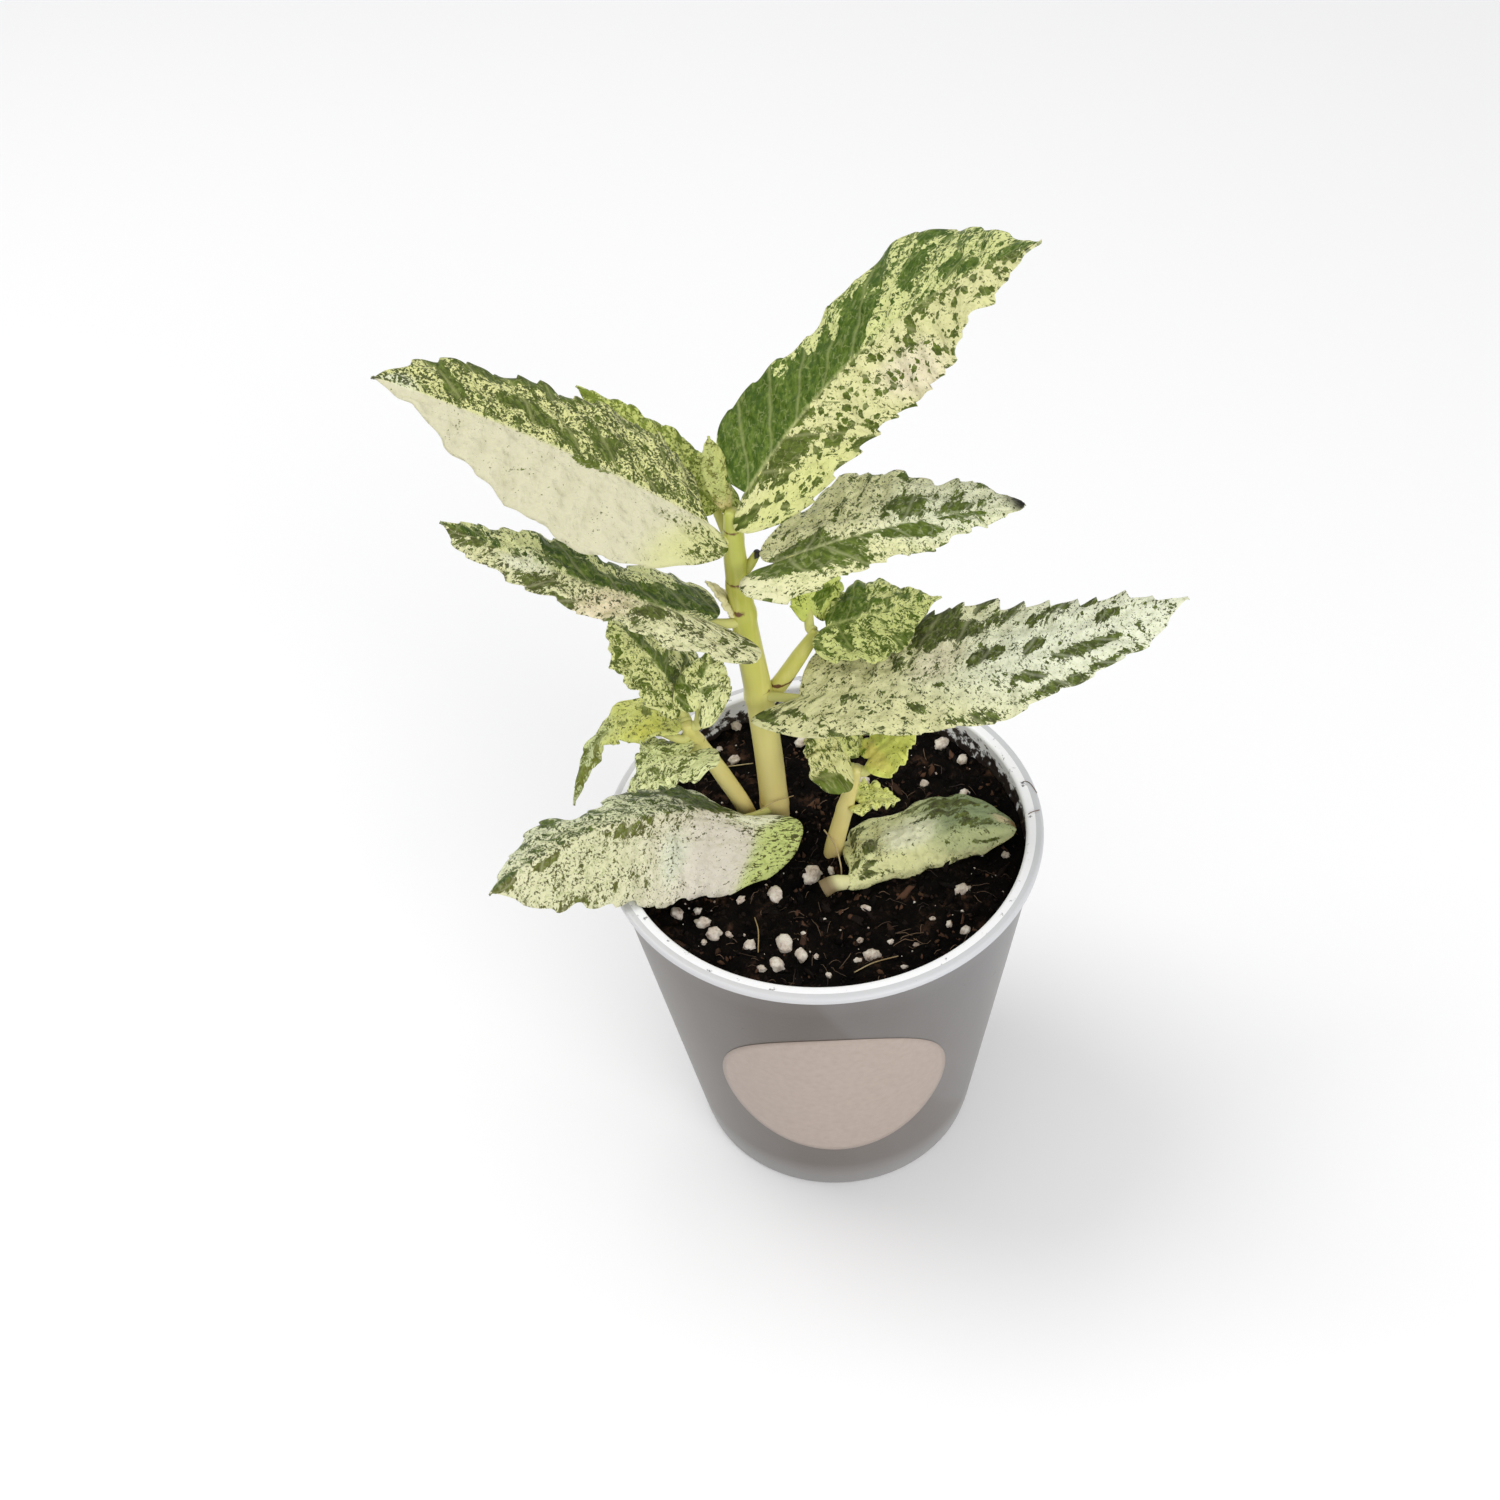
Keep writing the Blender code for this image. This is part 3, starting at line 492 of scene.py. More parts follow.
# Perlite: puffed white mineral lumps, dusty with soil, with fine grit of the same between them.
# They sit half sunk in the crust; the big ones lie mostly at the front.
# Each lump: its place on the soil and its rough radius, in millimetres.
PERLITE = (
    (-3, -7, 2.0), (-11, -11, 1.7), (-26, -17, 1.4), (-24, -20, 1.5), (-31, -14, 1.4),
    (-27, -13, 0.9), (-18, -12, 0.9), (-17, -24, 1.3), (-10, -24, 1.7), (-7, -27, 1.4),
    (-12, -29, 1.4), (-15, -30, 0.8), (7, -29, 1.4), (4, -30, 0.7), (5, -25, 0.7),
    (7, -17, 0.9), (27, -14, 1.6), (26, -25, 1.0), (20, -21, 0.5), (23, -23, 0.8),
    (1, -6, 0.9), (-2, -33, 0.7), (-21, -20, 0.7), (-6, -22, 0.5), (-20, 32, 0.7),
    (-17, 28, 1.2), (-16, 38, 1.2), (-18, 20, 0.6), (10, 19, 1.4), (28, 27, 1.6),
    (32, 22, 1.2), (31, 12, 1.3), (23, 16, 0.8), (-4, -28, 0.6), (-26, -22, 0.6),
    (11, -26, 0.6), (13, -32, 0.6), (16, -27, 0.6), (-33, 8, 1.2), (-30, 20, 0.9),
    (-2, 32, 1.3), (14, 34, 1.0), (37, -6, 0.9), (-36, -4, 1.0), (6, 26, 0.8),
)
perlite_white, tree, shader = new_material("dusty_perlite", Roughness=0.85)
place = object_place()
dusting = mottle(place, 420, 5, 0.7)
coloured(graded(dusting, (0.32, 104, 82, 70), (0.62, 236, 228, 214), (0.44, 198, 182, 166)))
bumped(cells(place, 2200)["Distance"], 0.4, 0.2)

chance = random.Random(21)
points, faces = [], []
for number, (x, y, size) in enumerate(PERLITE):
    lump = lump_mesh("perlite_lump", 3, 0.4, number * 1.7)
    turn = Matrix.Rotation(chance.uniform(0, 6.28), 3, "Z")
    turn = turn @ Matrix.Rotation(chance.uniform(-0.4, 0.4), 3, "X")
    stretch = [chance.uniform(0.95, 1.3), chance.uniform(0.75, 1.0), chance.uniform(0.7, 0.9)]
    centre = Vector((x, y, crust(x, y) + 0.3 * size))
    faces += [tuple(len(points) + k for k in polygon.vertices) for polygon in lump.polygons]
    for vertex in lump.vertices:
        shaped = Vector([k * s for k, s in zip(vertex.co / MM, stretch)]) * size
        points.append(turn @ shaped + centre)
    bpy.data.meshes.remove(lump)
perlite = mesh_piece("perlite_lumps", points, faces, perlite_white)
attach(perlite, "root")
bit = lump_mesh("perlite_bit", 1, 0.6, 9)
scattered("perlite_grit", bit, 26000, 0.12, 0.36, 8, perlite_white)


# Fibres and rootlets: dry brown threads of root in the potting mix, a few of them long and
# pale. They lie loose on the crust, and two thin ones over the rim.
def unit(vector):
    return vector / np.linalg.norm(vector)


def eased(values, t):
    """A smooth curve through values or points at even steps, read at each t from 0 to 1."""
    v = np.array(values, float)
    p = np.concatenate([[2 * v[0] - v[1]], v, [2 * v[-1] - v[-2]]])
    x = np.clip(t, 0, 1) * (len(v) - 1)
    i = np.minimum(x.astype(int), len(v) - 2)
    f = (x - i).reshape([-1] + [1] * (v.ndim - 1))
    a, b, c, d = p[i], p[i + 1], p[i + 2], p[i + 3]
    return 0.5 * (2 * b + (c - a) * f + (2 * a - 5 * b + 4 * c - d) * f**2
                  + (3 * b - a - 3 * c + d) * f**3)


def smooth_path(points, steps):
    """A smooth curve through the points, with the same number of steps in each span."""
    return eased(points, np.linspace(0, 1, steps * (len(points) - 1) + 1))


def tube_mesh(path, radii, sides, points, faces):
    """Adds a round closed tube along the path to the points and the faces."""
    tangents = np.gradient(path, axis=0)
    side = unit(np.cross(tangents[0], [0.31, 0.95, 0.05]))
    faces.extend(ring_faces([1, *[sides] * len(path), 1], len(points)))
    points.append(path[0])
    for centre, tangent, radius in zip(path, tangents, radii):
        tangent = unit(tangent)
        side = unit(side - tangent * np.dot(side, tangent))
        other = np.cross(tangent, side)
        for k in range(sides):
            angle = 2 * math.pi * k / sides
            points.append(centre + radius * (math.cos(angle) * side + math.sin(angle) * other))
    points.append(path[-1])


def thread_piece(name, threads, steps, sides, material, points, faces):
    """One piece of threads, given by their points and radius, with what is there already."""
    for line, radius in threads:
        path = smooth_path(line, steps)
        tube_mesh(path, [radius] * len(path), sides, points, faces)
    piece = mesh_piece(name, points, faces, material)
    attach(piece, "root")


FIBRES = 190
FIBRE_POINTS = 8
thread_brown, tree, shader = new_material("dry_root_thread", Roughness=0.7)
coloured(graded(mottle(object_place(), 120), (0.35, 40, 28, 22), (0.68, 120, 94, 70)))
chance = random.Random(5)
points, faces, fibres = [], [], 0
while fibres < FIBRES:
    out = 38.5 * math.sqrt(chance.random())
    angle = chance.uniform(0, 2 * math.pi)
    x, y = out * math.cos(angle), out * math.sin(angle)
    heading, bend = chance.uniform(0, 6.28), chance.uniform(-0.5, 0.5)
    length = chance.uniform(1.5, 6.0)
    line = []
    for k in range(FIBRE_POINTS):
        line.append((x, y, crust(x, y) + 0.2 + 0.4 * math.sin(k * 0.7 + angle)))
        x += length / (FIBRE_POINTS - 1) * math.cos(heading)
        y += length / (FIBRE_POINTS - 1) * math.sin(heading)
        heading += bend * 0.3 + chance.uniform(-0.1, 0.1)
    if max(math.hypot(p[0], p[1]) for p in line) < 41:
        radii = [chance.uniform(0.04, 0.1)] * FIBRE_POINTS
        tube_mesh(np.array(line), radii, 4, points, faces)
        fibres += 1
# Two thin hairs lie over the rim at the right.
HAIRS = (
    ([(40.9, 7.3, 83.8), (42.4, 6.9, 86.0), (43.7, 6.1, 86.15), (44.7, 3.4, 86.0)], 0.09),
    ([(40.6, -2.7, 84.0), (42.2, -2.2, 86.1), (44.4, -1.5, 86.15)], 0.09),
)
thread_piece("soil_fibres", HAIRS, 6, 5, thread_brown, points, faces)

straw, tree, shader = new_material("pale_rootlet", Roughness=0.55)
coloured(graded(mottle(object_place(), 150), (0.2, 140, 108, 62), (0.8, 206, 190, 142)))
ROOTLETS = (
    ([(0.3, 0.3, 84), (2.1, -3.5, 83.5), (2.9, -7.5, 81.5), (2.8, -10.0, 79)], 0.16),
    ([(-17.5, 7.5, 79.5), (-13.2, 7.2, 83.5), (-9.5, 7.3, 86.2), (-5.2, 8.6, 86.2)], 0.1),
    ([(-15.5, -17, 78.8), (-15.0, -21, 79.4), (-15.4, -26, 78.8)], 0.12),
    ([(3, -33, 78.6), (7, -31.5, 79.2), (12, -30, 78.7)], 0.12),
    ([(-24, 26, 79.2), (-19, 24.5, 80.3), (-13, 26, 79.0)], 0.12),
)
thread_piece("pale_rootlets", ROOTLETS, 8, 6, straw, [], [])


# Stems: fleshy and round, waxy cream at the soil and olive above, with a brown scar at each
# joint. The main stem carries a branch to the right and the stub of a lost leaf.
STEMS = {
    "main_stem": [
        ([(-9, 11.5, 62), (-9.2, 11.2, 78), (-9.7, 10.5, 98), (-10.7, 9.8, 116),
          (-12.2, 9.5, 134), (-12.9, 9.5, 150), (-12.8, 9.4, 162)],
         [3.0, 3.0, 2.9, 2.8, 2.5, 2.2, 1.5]),
        ([(-10.6, 9.8, 112), (-6.5, 10.6, 116.5), (-2, 12, 122.5), (1.6, 13, 127.5)],
         [1.7, 1.8, 1.6, 1.1]),
        ([(-12.6, 9.5, 146), (-10.3, 9.4, 149), (-8.6, 9.3, 152)], [1.2, 1.0, 0.7]),
    ],
    "left_stem": [
        ([(-15.5, 13, 64), (-14.8, 11.2, 78), (-19.5, 8.2, 95), (-24, 5.2, 109),
          (-25.4, 4.4, 114)],
         [1.8, 1.8, 1.8, 1.5, 1.1]),
    ],
    "low_right_stem": [
        ([(0.5, -1.5, 64), (1.9, -0.7, 78), (4.8, -0.4, 91), (7.6, 0.2, 102)],
         [2.0, 2.0, 1.7, 1.1]),
    ],
}
STEM_SIDES = 28
STEM_STEPS = 14
# Joints of each stem: height, swelling and depth of the brown scar.
JOINTS = {
    "main_stem": ((82, 0.5), (115, 0.9), (137, 0.9), (144, 0.8), (156, 0.6)),
    "left_stem": ((108, 0.5), (112, 0.6)),
    "low_right_stem": ((91, 0.4), (101, 0.5)),
}


def painted(name, output="Fac"):
    """An attribute painted on the piece's points."""
    return node("ShaderNodeAttribute", attribute_name=name)[output]


def store(mesh, name, values):
    """Writes an array of values, one row for each point, as an attribute."""
    kinds = {1: ("FLOAT", "value"), 3: ("FLOAT_VECTOR", "vector"), 4: ("FLOAT_COLOR", "color")}
    rows = np.reshape(np.array(values, float), (len(mesh.vertices), -1))
    kind, field = kinds[rows.shape[1]]
    mesh.attributes.new(name, kind, "POINT").data.foreach_set(field, rows.ravel())


def spread_out(radii, count):
    """Radii at even steps, read at a count of points."""
    return np.interp(np.linspace(0, len(radii) - 1, count), range(len(radii)), radii)


stem_skin, tree, shader = new_material(
    "fleshy_stem_skin", Roughness=0.36, Subsurface_Weight=0.25,
    Subsurface_Radius=(1.0, 0.9, 0.4), Subsurface_Scale=0.0015,
)
place = object_place()
stem_tint = graded(
    ranged(node("ShaderNodeSeparateXYZ", (place,))["Z"], 78 * MM, 165 * MM),
    (0.0, 212, 190, 124), (1.0, 190, 196, 98),
    (0.10, 226, 210, 138), (0.30, 222, 214, 136), (0.45, 206, 202, 110), (0.62, 184, 186, 82),
    (0.78, 174, 176, 70),
)
flow = mottle(object_place((1, 1, 0.06)), 700, 2)
stem_tint = blended(ranged(flow, 0.45, 0.7, 0.0, 0.3), stem_tint, linear(232, 220, 152))
scar = worked_out("MULTIPLY_ADD", painted("scar"), 0.75, mottle(place, 700, 4))
stem_tint = blended(ranged(scar, 0.80, 1.0), stem_tint, linear(104, 66, 30))
coloured(blended(painted("dried_tip"), stem_tint, linear(24, 18, 16)))
bumped(flow, 0.15, 0.15)

for stem_name, parts in STEMS.items():
    points, faces = [], []
    for number, (line, radii) in enumerate(parts):
        path = smooth_path(line, STEM_STEPS)
        widths = spread_out(radii, len(path))
        if number == 0:
            for height, swell in JOINTS[stem_name]:
                widths += 0.35 * swell * np.exp(-(((path[:, 2] - height) / 1.3) ** 2))
        widths[-1] *= 0.8
        tube_mesh(path, widths, STEM_SIDES, points, faces)
    stem = mesh_piece(stem_name + "_skin", points, faces, stem_skin)
    scars, tips = [], []
    for x, y, z in points:
        depth = 0.0
        for height, swell in JOINTS[stem_name]:
            tilt = 0.5 * math.sin(height) * (x - points[1][0]) / 3
            depth = max(depth, swell * math.exp(-(((z - height - 1.6 - tilt) / 0.4) ** 2)))
        scars.append(depth)
        tips.append(stem_name == "main_stem" and x > -9.4 and 150.9 < z < 154)
    store(stem.data, "scar", scars)
    store(stem.data, "dried_tip", tips)
    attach(stem, "root")
    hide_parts(stem_name)


# Leaves: fleshy toothed blades, cream splashed with green, each half its own width and slope.
# A blade is one closed skin about 0.6 mm thick, with sunken veins above and a raised rib below
# that runs on as a short stalk into its stem's joint.
BLADE_THICKNESS = 0.6
MARGIN_THICKNESS = 0.3
BLADE_STEP = 0.45
BLADE_COLUMNS = 17
STALK_SIDES = 14
STALK_COLOUR = (206, 204, 122)
TORN_COLOUR = (104, 72, 44)
# Each leaf reads its own part of the patterns, this far in millimetres from the last.
PATTERN_STEP = 37.0
FIRST_PATTERN = 42
PATTERNS = 50

leaf_skin, tree, shader = new_material(
    "variegated_leaf_skin", Specular_IOR_Level=0.13, Subsurface_Weight=0.06,
    Subsurface_Radius=(0.8, 1.0, 0.35), Subsurface_Scale=0.001,
)
streaks = painted("streaks", "Vector")
plain_place = painted("place", "Vector")
green = painted("green")
specks = painted("specks")
ground = painted("ground", "Color")
deep = painted("deep", "Color")
warp = mottle(plain_place, 1.2, output="Color")
warped = node(
    "ShaderNodeVectorMath", (warp, (1.5, 1.5, 0.0), plain_place), operation="MULTIPLY_ADD"
)[0]
stretched = node("ShaderNodeVectorMath", (streaks, (1.2, 0.75, 1.0)), operation="MULTIPLY")[0]
# Green cells are splashed in streaks that run with the side veins. Two noises are cut at levels
# that fall where the blade is painted greener: a ragged one gives patches, a fine one flecks.
broad = mottle(streaks, 0.4, 2.0, 0.5)
ragged = mottle(stretched, 0.95, 4.0, 0.66, 0.5)
mosaic = cell_values(cells(warped, 1.05))[1]
splash = worked_out("MULTIPLY_ADD", ragged, 0.5, times(broad, 0.36))
splash = worked_out("MULTIPLY_ADD", mosaic, 0.14, splash)
level = ranged(green, 0.0, 1.0, 0.70, 0.30)
splashed = ranged(splash, level, worked_out("ADD", level, 0.01))
haze = ranged(splash, worked_out("SUBTRACT", level, 0.035), level, 0.0, 0.35)
flecks = worked_out("MULTIPLY_ADD", broad, 0.3, mottle(plain_place, 1.8, 3.0, 0.7, 0.3))
fleck_level = ranged(specks, 0.0, 1.0, 0.83, 0.64)
fleck = ranged(flecks, fleck_level, worked_out("ADD", fleck_level, 0.018), 0.0, 0.95)
# Some leaves have roundish dots.
dot_cells = cells(warped, 0.62)
dot_size = times(ranged(cell_values(dot_cells)[0], 0.35, 1.0, 0.0, 0.5), painted("dots"))
dot = ranged(dot_cells["Distance"], dot_size, worked_out("ADD", dot_size, 0.04), 1.0, 0.0)
green_mask = worked_out("MAXIMUM", splashed, dot)
# The green is darker in some parts; cream next to it is hazy or lightly veiled.
tone = mottle(streaks, 0.9, 4.0, 0.65)
dark_deep = blended(0.2, deep, linear(40, 56, 18))
lit_deep = blended(0.5, deep, linear(136, 156, 66))
deep_tone = blended(ranged(tone, 0.42, 0.66, 0.0, 0.85), dark_deep, lit_deep)
haze_tone = blended(0.4, ground, linear(132, 144, 74))
veil = ranged(mottle(streaks, 0.6, 3.0, 0.65), 0.42, 0.62, 0.0, 0.4)
skin = blended(times(veil, specks), ground, haze_tone)
skin = blended(haze, skin, haze_tone)
# A net of small veins is olive where it crosses cream and pale where it crosses green; the side
# veins and the midrib stay pale, and the underside is paler and matt.
net_line = ranged(cells(warped, 0.6, "DISTANCE_TO_EDGE")["Distance"], 0.02, 0.10, 1.0, 0.0)
net_line = times(net_line, ranged(mottle(streaks, 1.1, 3.0), 0.45, 0.53, 0.0, 0.8))
skin = blended(times(times(net_line, specks), 0.65), skin, linear(134, 150, 70))
skin = blended(fleck, skin, blended(0.5, deep, linear(52, 58, 26)))
skin = blended(green_mask, skin, deep_tone)
vein_wave = worked_out("ABSOLUTE", worked_out("COSINE", times(painted("vein"), math.pi)))
vein_line = times(worked_out("POWER", vein_wave, 60.0), 0.35)
pale_line = times(worked_out("MAXIMUM", vein_line, times(net_line, 0.35)), green_mask)
skin = blended(pale_line, skin, blended(0.35, ground, deep))
rib = times(ranged(painted("rib"), 0.4, 1.0, 0.0, 0.5), ranged(tone, 0.35, 0.55, 0.4, 1.0))
skin = blended(rib, skin, blended(0.2, ground, linear(190, 204, 120)))
skin = blended(painted("stain", "Alpha"), skin, painted("stain", "Color"))
under = painted("under")
coloured(blended(times(under, 0.35), skin, linear(206, 212, 170)))
tree.links.new(ranged(under, 0.0, 1.0, 0.42, 0.6), shader.inputs["Roughness"])
pillows = cells(plain_place, 0.75, "SMOOTH_F1")["Distance"]
bumped(worked_out("MULTIPLY_ADD", mottle(plain_place, 3.2), 0.25, pillows), 0.9, 0.8)


def leaf(base, tip, joint, left, right, **more):
    """A leaf's shape in millimetres and degrees. left and right are half widths at even steps
    from base to tip; bow and sway bend the midrib; roll lifts the left half; fold and curl bend
    each half down; lobes reach back past the base; teeth (a count, or where each tooth's tip is,
    in per cent of the length) and tooth (their depth) cut the margins; ruffle and waves ripple
    them; a high ear or blunt makes the lobes or the tip fuller; stalk is the stalk's radius; rib
    says how pale the midrib is."""
    shape = {
        "base": base, "tip": tip, "joint": joint, "widths": (left, right),
        "bow": 1, "sway": 0, "roll": 0, "fold": (8, 8), "curl": (10, 10),
        "lobes": (0, 0), "ear": 2, "teeth": (6, 6), "tooth": (0.7, 0.7),
        "ruffle": 0.8, "waves": 4, "stalk": 1.0, "blunt": 24, "rib": 1.0,
    }
    shape.update(more)
    return shape


def unit_rows(vectors):
    return vectors / np.linalg.norm(vectors, axis=1)[:, None]


def midrib(shape, t):
    """The midrib's points and its frame (tangent, left, normal) at each t from 0 to 1."""
    t = np.asarray(t, float)[:, None]
    base = np.array(shape["base"], float)
    chord = np.array(shape["tip"], float) - base
    level_left = unit(np.cross([0, 0, 1], chord))
    raised = unit(np.cross(chord, level_left))
    bend = raised * shape["bow"] + level_left * shape["sway"]
    at = base + chord * t + bend * 4 * t * (1 - t)
    along = unit_rows(chord + bend * 4 * (1 - 2 * t))
    left = unit_rows(np.cross([0, 0, 1], along))
    normal = np.cross(along, left)
    roll = math.radians(shape["roll"])
    rolled_left = left * math.cos(roll) + normal * math.sin(roll)
    return at, along, rolled_left, normal * math.cos(roll) - left * math.sin(roll)


def margin(shape, side, t):
    """One half's width, the tooth that stands out of it and how far its lobe reaches back."""
    teeth, depth = shape["teeth"][side], shape["tooth"][side]
    if isinstance(teeth, int):
        teeth = 6 + 92 * (np.arange(teeth) + 0.5 * side) / teeth
    tips = np.array([-2, *teeth, 102]) / 100
    index = np.clip(np.searchsorted(tips, t, side="right") - 1, 0, len(tips) - 2)
    spacing = tips[index + 1] - tips[index]
    run = (t - tips[index]) / spacing
    length = np.linalg.norm(np.subtract(shape["tip"], shape["base"]))
    saw = run**1.4 * np.clip((1 - run) / 0.12, 0, 1) * np.clip(spacing * length / 5, 0.4, 1.5)
    start = np.clip((t - 0.03) / 0.06, 0, 1)
    saw *= depth * start * np.clip((1 - t) / 0.04, 0, 1)
    round_base = 0.5 + 0.5 * np.sqrt(1 - np.clip(1 - t / 0.1, 0, 1) ** 2)
    round_tip = np.sqrt(np.clip(1 - t ** shape["blunt"], 0, 1))
    full = np.maximum(eased(shape["widths"][side], t), 0) * round_base * round_tip
    back = shape["lobes"][side] * np.clip(1 - t / 0.30, 0, 1) ** 1.5
    return full, saw, 0.4 * depth * start, back


def blade_surface(shape, rows, columns):
    """The blade's middle surface, with t, the signed share across and the distance across."""
    t = np.linspace(0, 1, rows + 1)
    centre, along, left, normal = midrib(shape, t)
    chord = unit(np.subtract(shape["tip"], shape["base"]))
    surface = np.zeros((rows + 1, 2 * columns + 1, 3))
    share = np.zeros(surface.shape[:2])
    across = np.zeros(surface.shape[:2])
    surface[:, columns] = centre
    for sign, side in ((1, 0), (-1, 1)):
        full, saw, notch, back = margin(shape, side, t)
        fold, curl = math.radians(shape["fold"][side]), math.radians(shape["curl"][side])
        waves = shape["waves"] * t + 0.37 * side
        wave = np.sin(2 * np.pi * waves) + 0.5 * np.sin(2 * np.pi * (2.3 * waves + 0.2))
        wave *= shape["ruffle"] * np.clip(t / 0.1, 0, 1) * np.clip((1 - t) / 0.1, 0, 1)
        for c in range(1, columns + 1):
            s = (c / columns) ** 1.15
            reach = full * s + (saw - notch) * s**6
            out = (math.sin(fold + curl * s) - math.sin(fold)) / (curl * s)
            down = (math.cos(fold) - math.cos(fold + curl * s)) / (curl * s)
            surface[:, columns + sign * c] = (
                centre
                + sign * left * (reach * out)[:, None]
                + normal * (wave * s**2 - reach * down)[:, None]
                + along * (0.7 * saw * s**6)[:, None]
                - chord * (back * (1 - (1 - s) ** shape["ear"]))[:, None]
            )
            share[:, columns + sign * c] = sign * s
            across[:, columns + sign * c] = sign * reach
    return surface, np.repeat(t[:, None], surface.shape[1], axis=1), share, across


def stalk_start(shape):
    """The stalk's first points: inside its stem's skin, and just outside it."""
    base = np.array(shape["base"], float)
    if shape["joint"] is None:
        heading = unit(np.array(shape["tip"], float) - base)
        return [base - heading * 5.0 - np.array([0, 0, 0.7]), base - heading * 2.5]
    stem_name, part, height = shape["joint"]
    line, radii = STEMS[stem_name][part]
    path = smooth_path(line, 12)
    nearest = int(np.argmin(abs(path[:, 2] - height)))
    radius = spread_out(radii, len(path))[nearest]
    tangent = unit(np.gradient(path, axis=0)[nearest])
    away = base - path[nearest]
    away = unit(away - tangent * np.dot(away, tangent))
    return [path[nearest] + away * (radius * 0.6), path[nearest] + away * (radius + 0.9)]


def closed_blade(surface, across, vein, share, t):
    """The blade's skin: an upper and a lower layer joined round the margin."""
    along = t * np.linalg.norm(surface[-1, 0] - surface[0, 0])
    swell = np.sin(0.75 * along + 0.6 * across) * np.sin(0.8 * across - 0.45 * along + 1.0)
    normals = np.cross(np.gradient(surface, axis=0), np.gradient(surface, axis=1))
    normals /= np.maximum(np.linalg.norm(normals, axis=2), 1e-9)[..., None]
    inner = (1 - np.abs(share) ** 6) * np.clip((1 - t) / 0.15, 0, 1) * np.clip(t / 0.08, 0, 1)
    sunken = np.abs(np.cos(np.pi * vein)) ** 10 * np.clip(np.abs(across) / 1.2, 0, 1)
    quilt = (0.12 - 0.34 * sunken) * inner
    groove = -0.38 * np.exp(-((across / 0.55) ** 2)) * np.clip((1 - t) / 0.3, 0, 1)
    half = 0.5 * (BLADE_THICKNESS + (MARGIN_THICKNESS - BLADE_THICKNESS) * np.abs(share) ** 12)
    swell = 0.5 * swell * inner * np.clip(np.abs(across) / 3, 0, 1)
    tops = surface + normals * (half + quilt + groove + swell)[..., None]
    unders = surface - normals * (half - 0.8 * quilt - swell)[..., None]
    tops[-1] = surface[-1] + normals[-2] * 0.1
    unders[-1] = surface[-1] - normals[-2] * 0.1
    rows, width = surface.shape[:2]
    layer = rows * width
    faces = []
    for r in range(rows - 1):
        for c in range(width - 1):
            a = r * width + c
            faces.append((a, a + 1, a + width + 1, a + width))
            faces.append((layer + a, layer + a + width, layer + a + width + 1, layer + a + 1))
        for a in (r * width, r * width + width - 1):
            faces.append((a, a + width, layer + a + width, layer + a))
    for c in range(width - 1):
        for a in (c, (rows - 1) * width + c):
            faces.append((a, a + 1, layer + a + 1, layer + a))
    return [*tops.reshape(-1, 3), *unders.reshape(-1, 3)], faces


def two_sided(t, s, left, right):
    """A colour or a share that changes over from the left half to the right at the midrib."""
    share = np.clip(0.5 + s / 0.06, 0, 1)
    if np.ndim(left) == 0:
        return left * share + right * (1 - share)
    first, second = np.array(linear(*left)), np.array(linear(*right))
    return first * share[..., None] + second * (1 - share[..., None])


def soft_oval(t, s, oval, slant, edge=2):
    """An oval patch: its middle, then its spread, along and across the blade, in per cent of
    its length and of its half width; a high edge makes its border sharp."""
    middle_t, middle_s, long, wide = np.array(oval) / 100
    along = (t - middle_t) - slant * (np.abs(s) - abs(middle_s))
    return np.exp(-(((along / long) ** 2 + ((s - middle_s) / wide) ** 2) ** edge))


def changed(values, ovals, t, s, slant):
    """The values, raised or lowered by per cents in ovals."""
    for *oval, change in ovals:
        values = values + change / 100 * soft_oval(t, s, oval, slant)
    return values


def dabbed(colour, dabs, t, s, slant):
    """The colour with ovals of other colours over it, each with its edge if not soft."""
    for oval, tint, *edge in dabs:
        amount = soft_oval(t, s, oval, slant, *edge)[..., None]
        colour = colour * (1 - amount) + np.array(linear(*tint)) * amount
    return colour


leaves = []


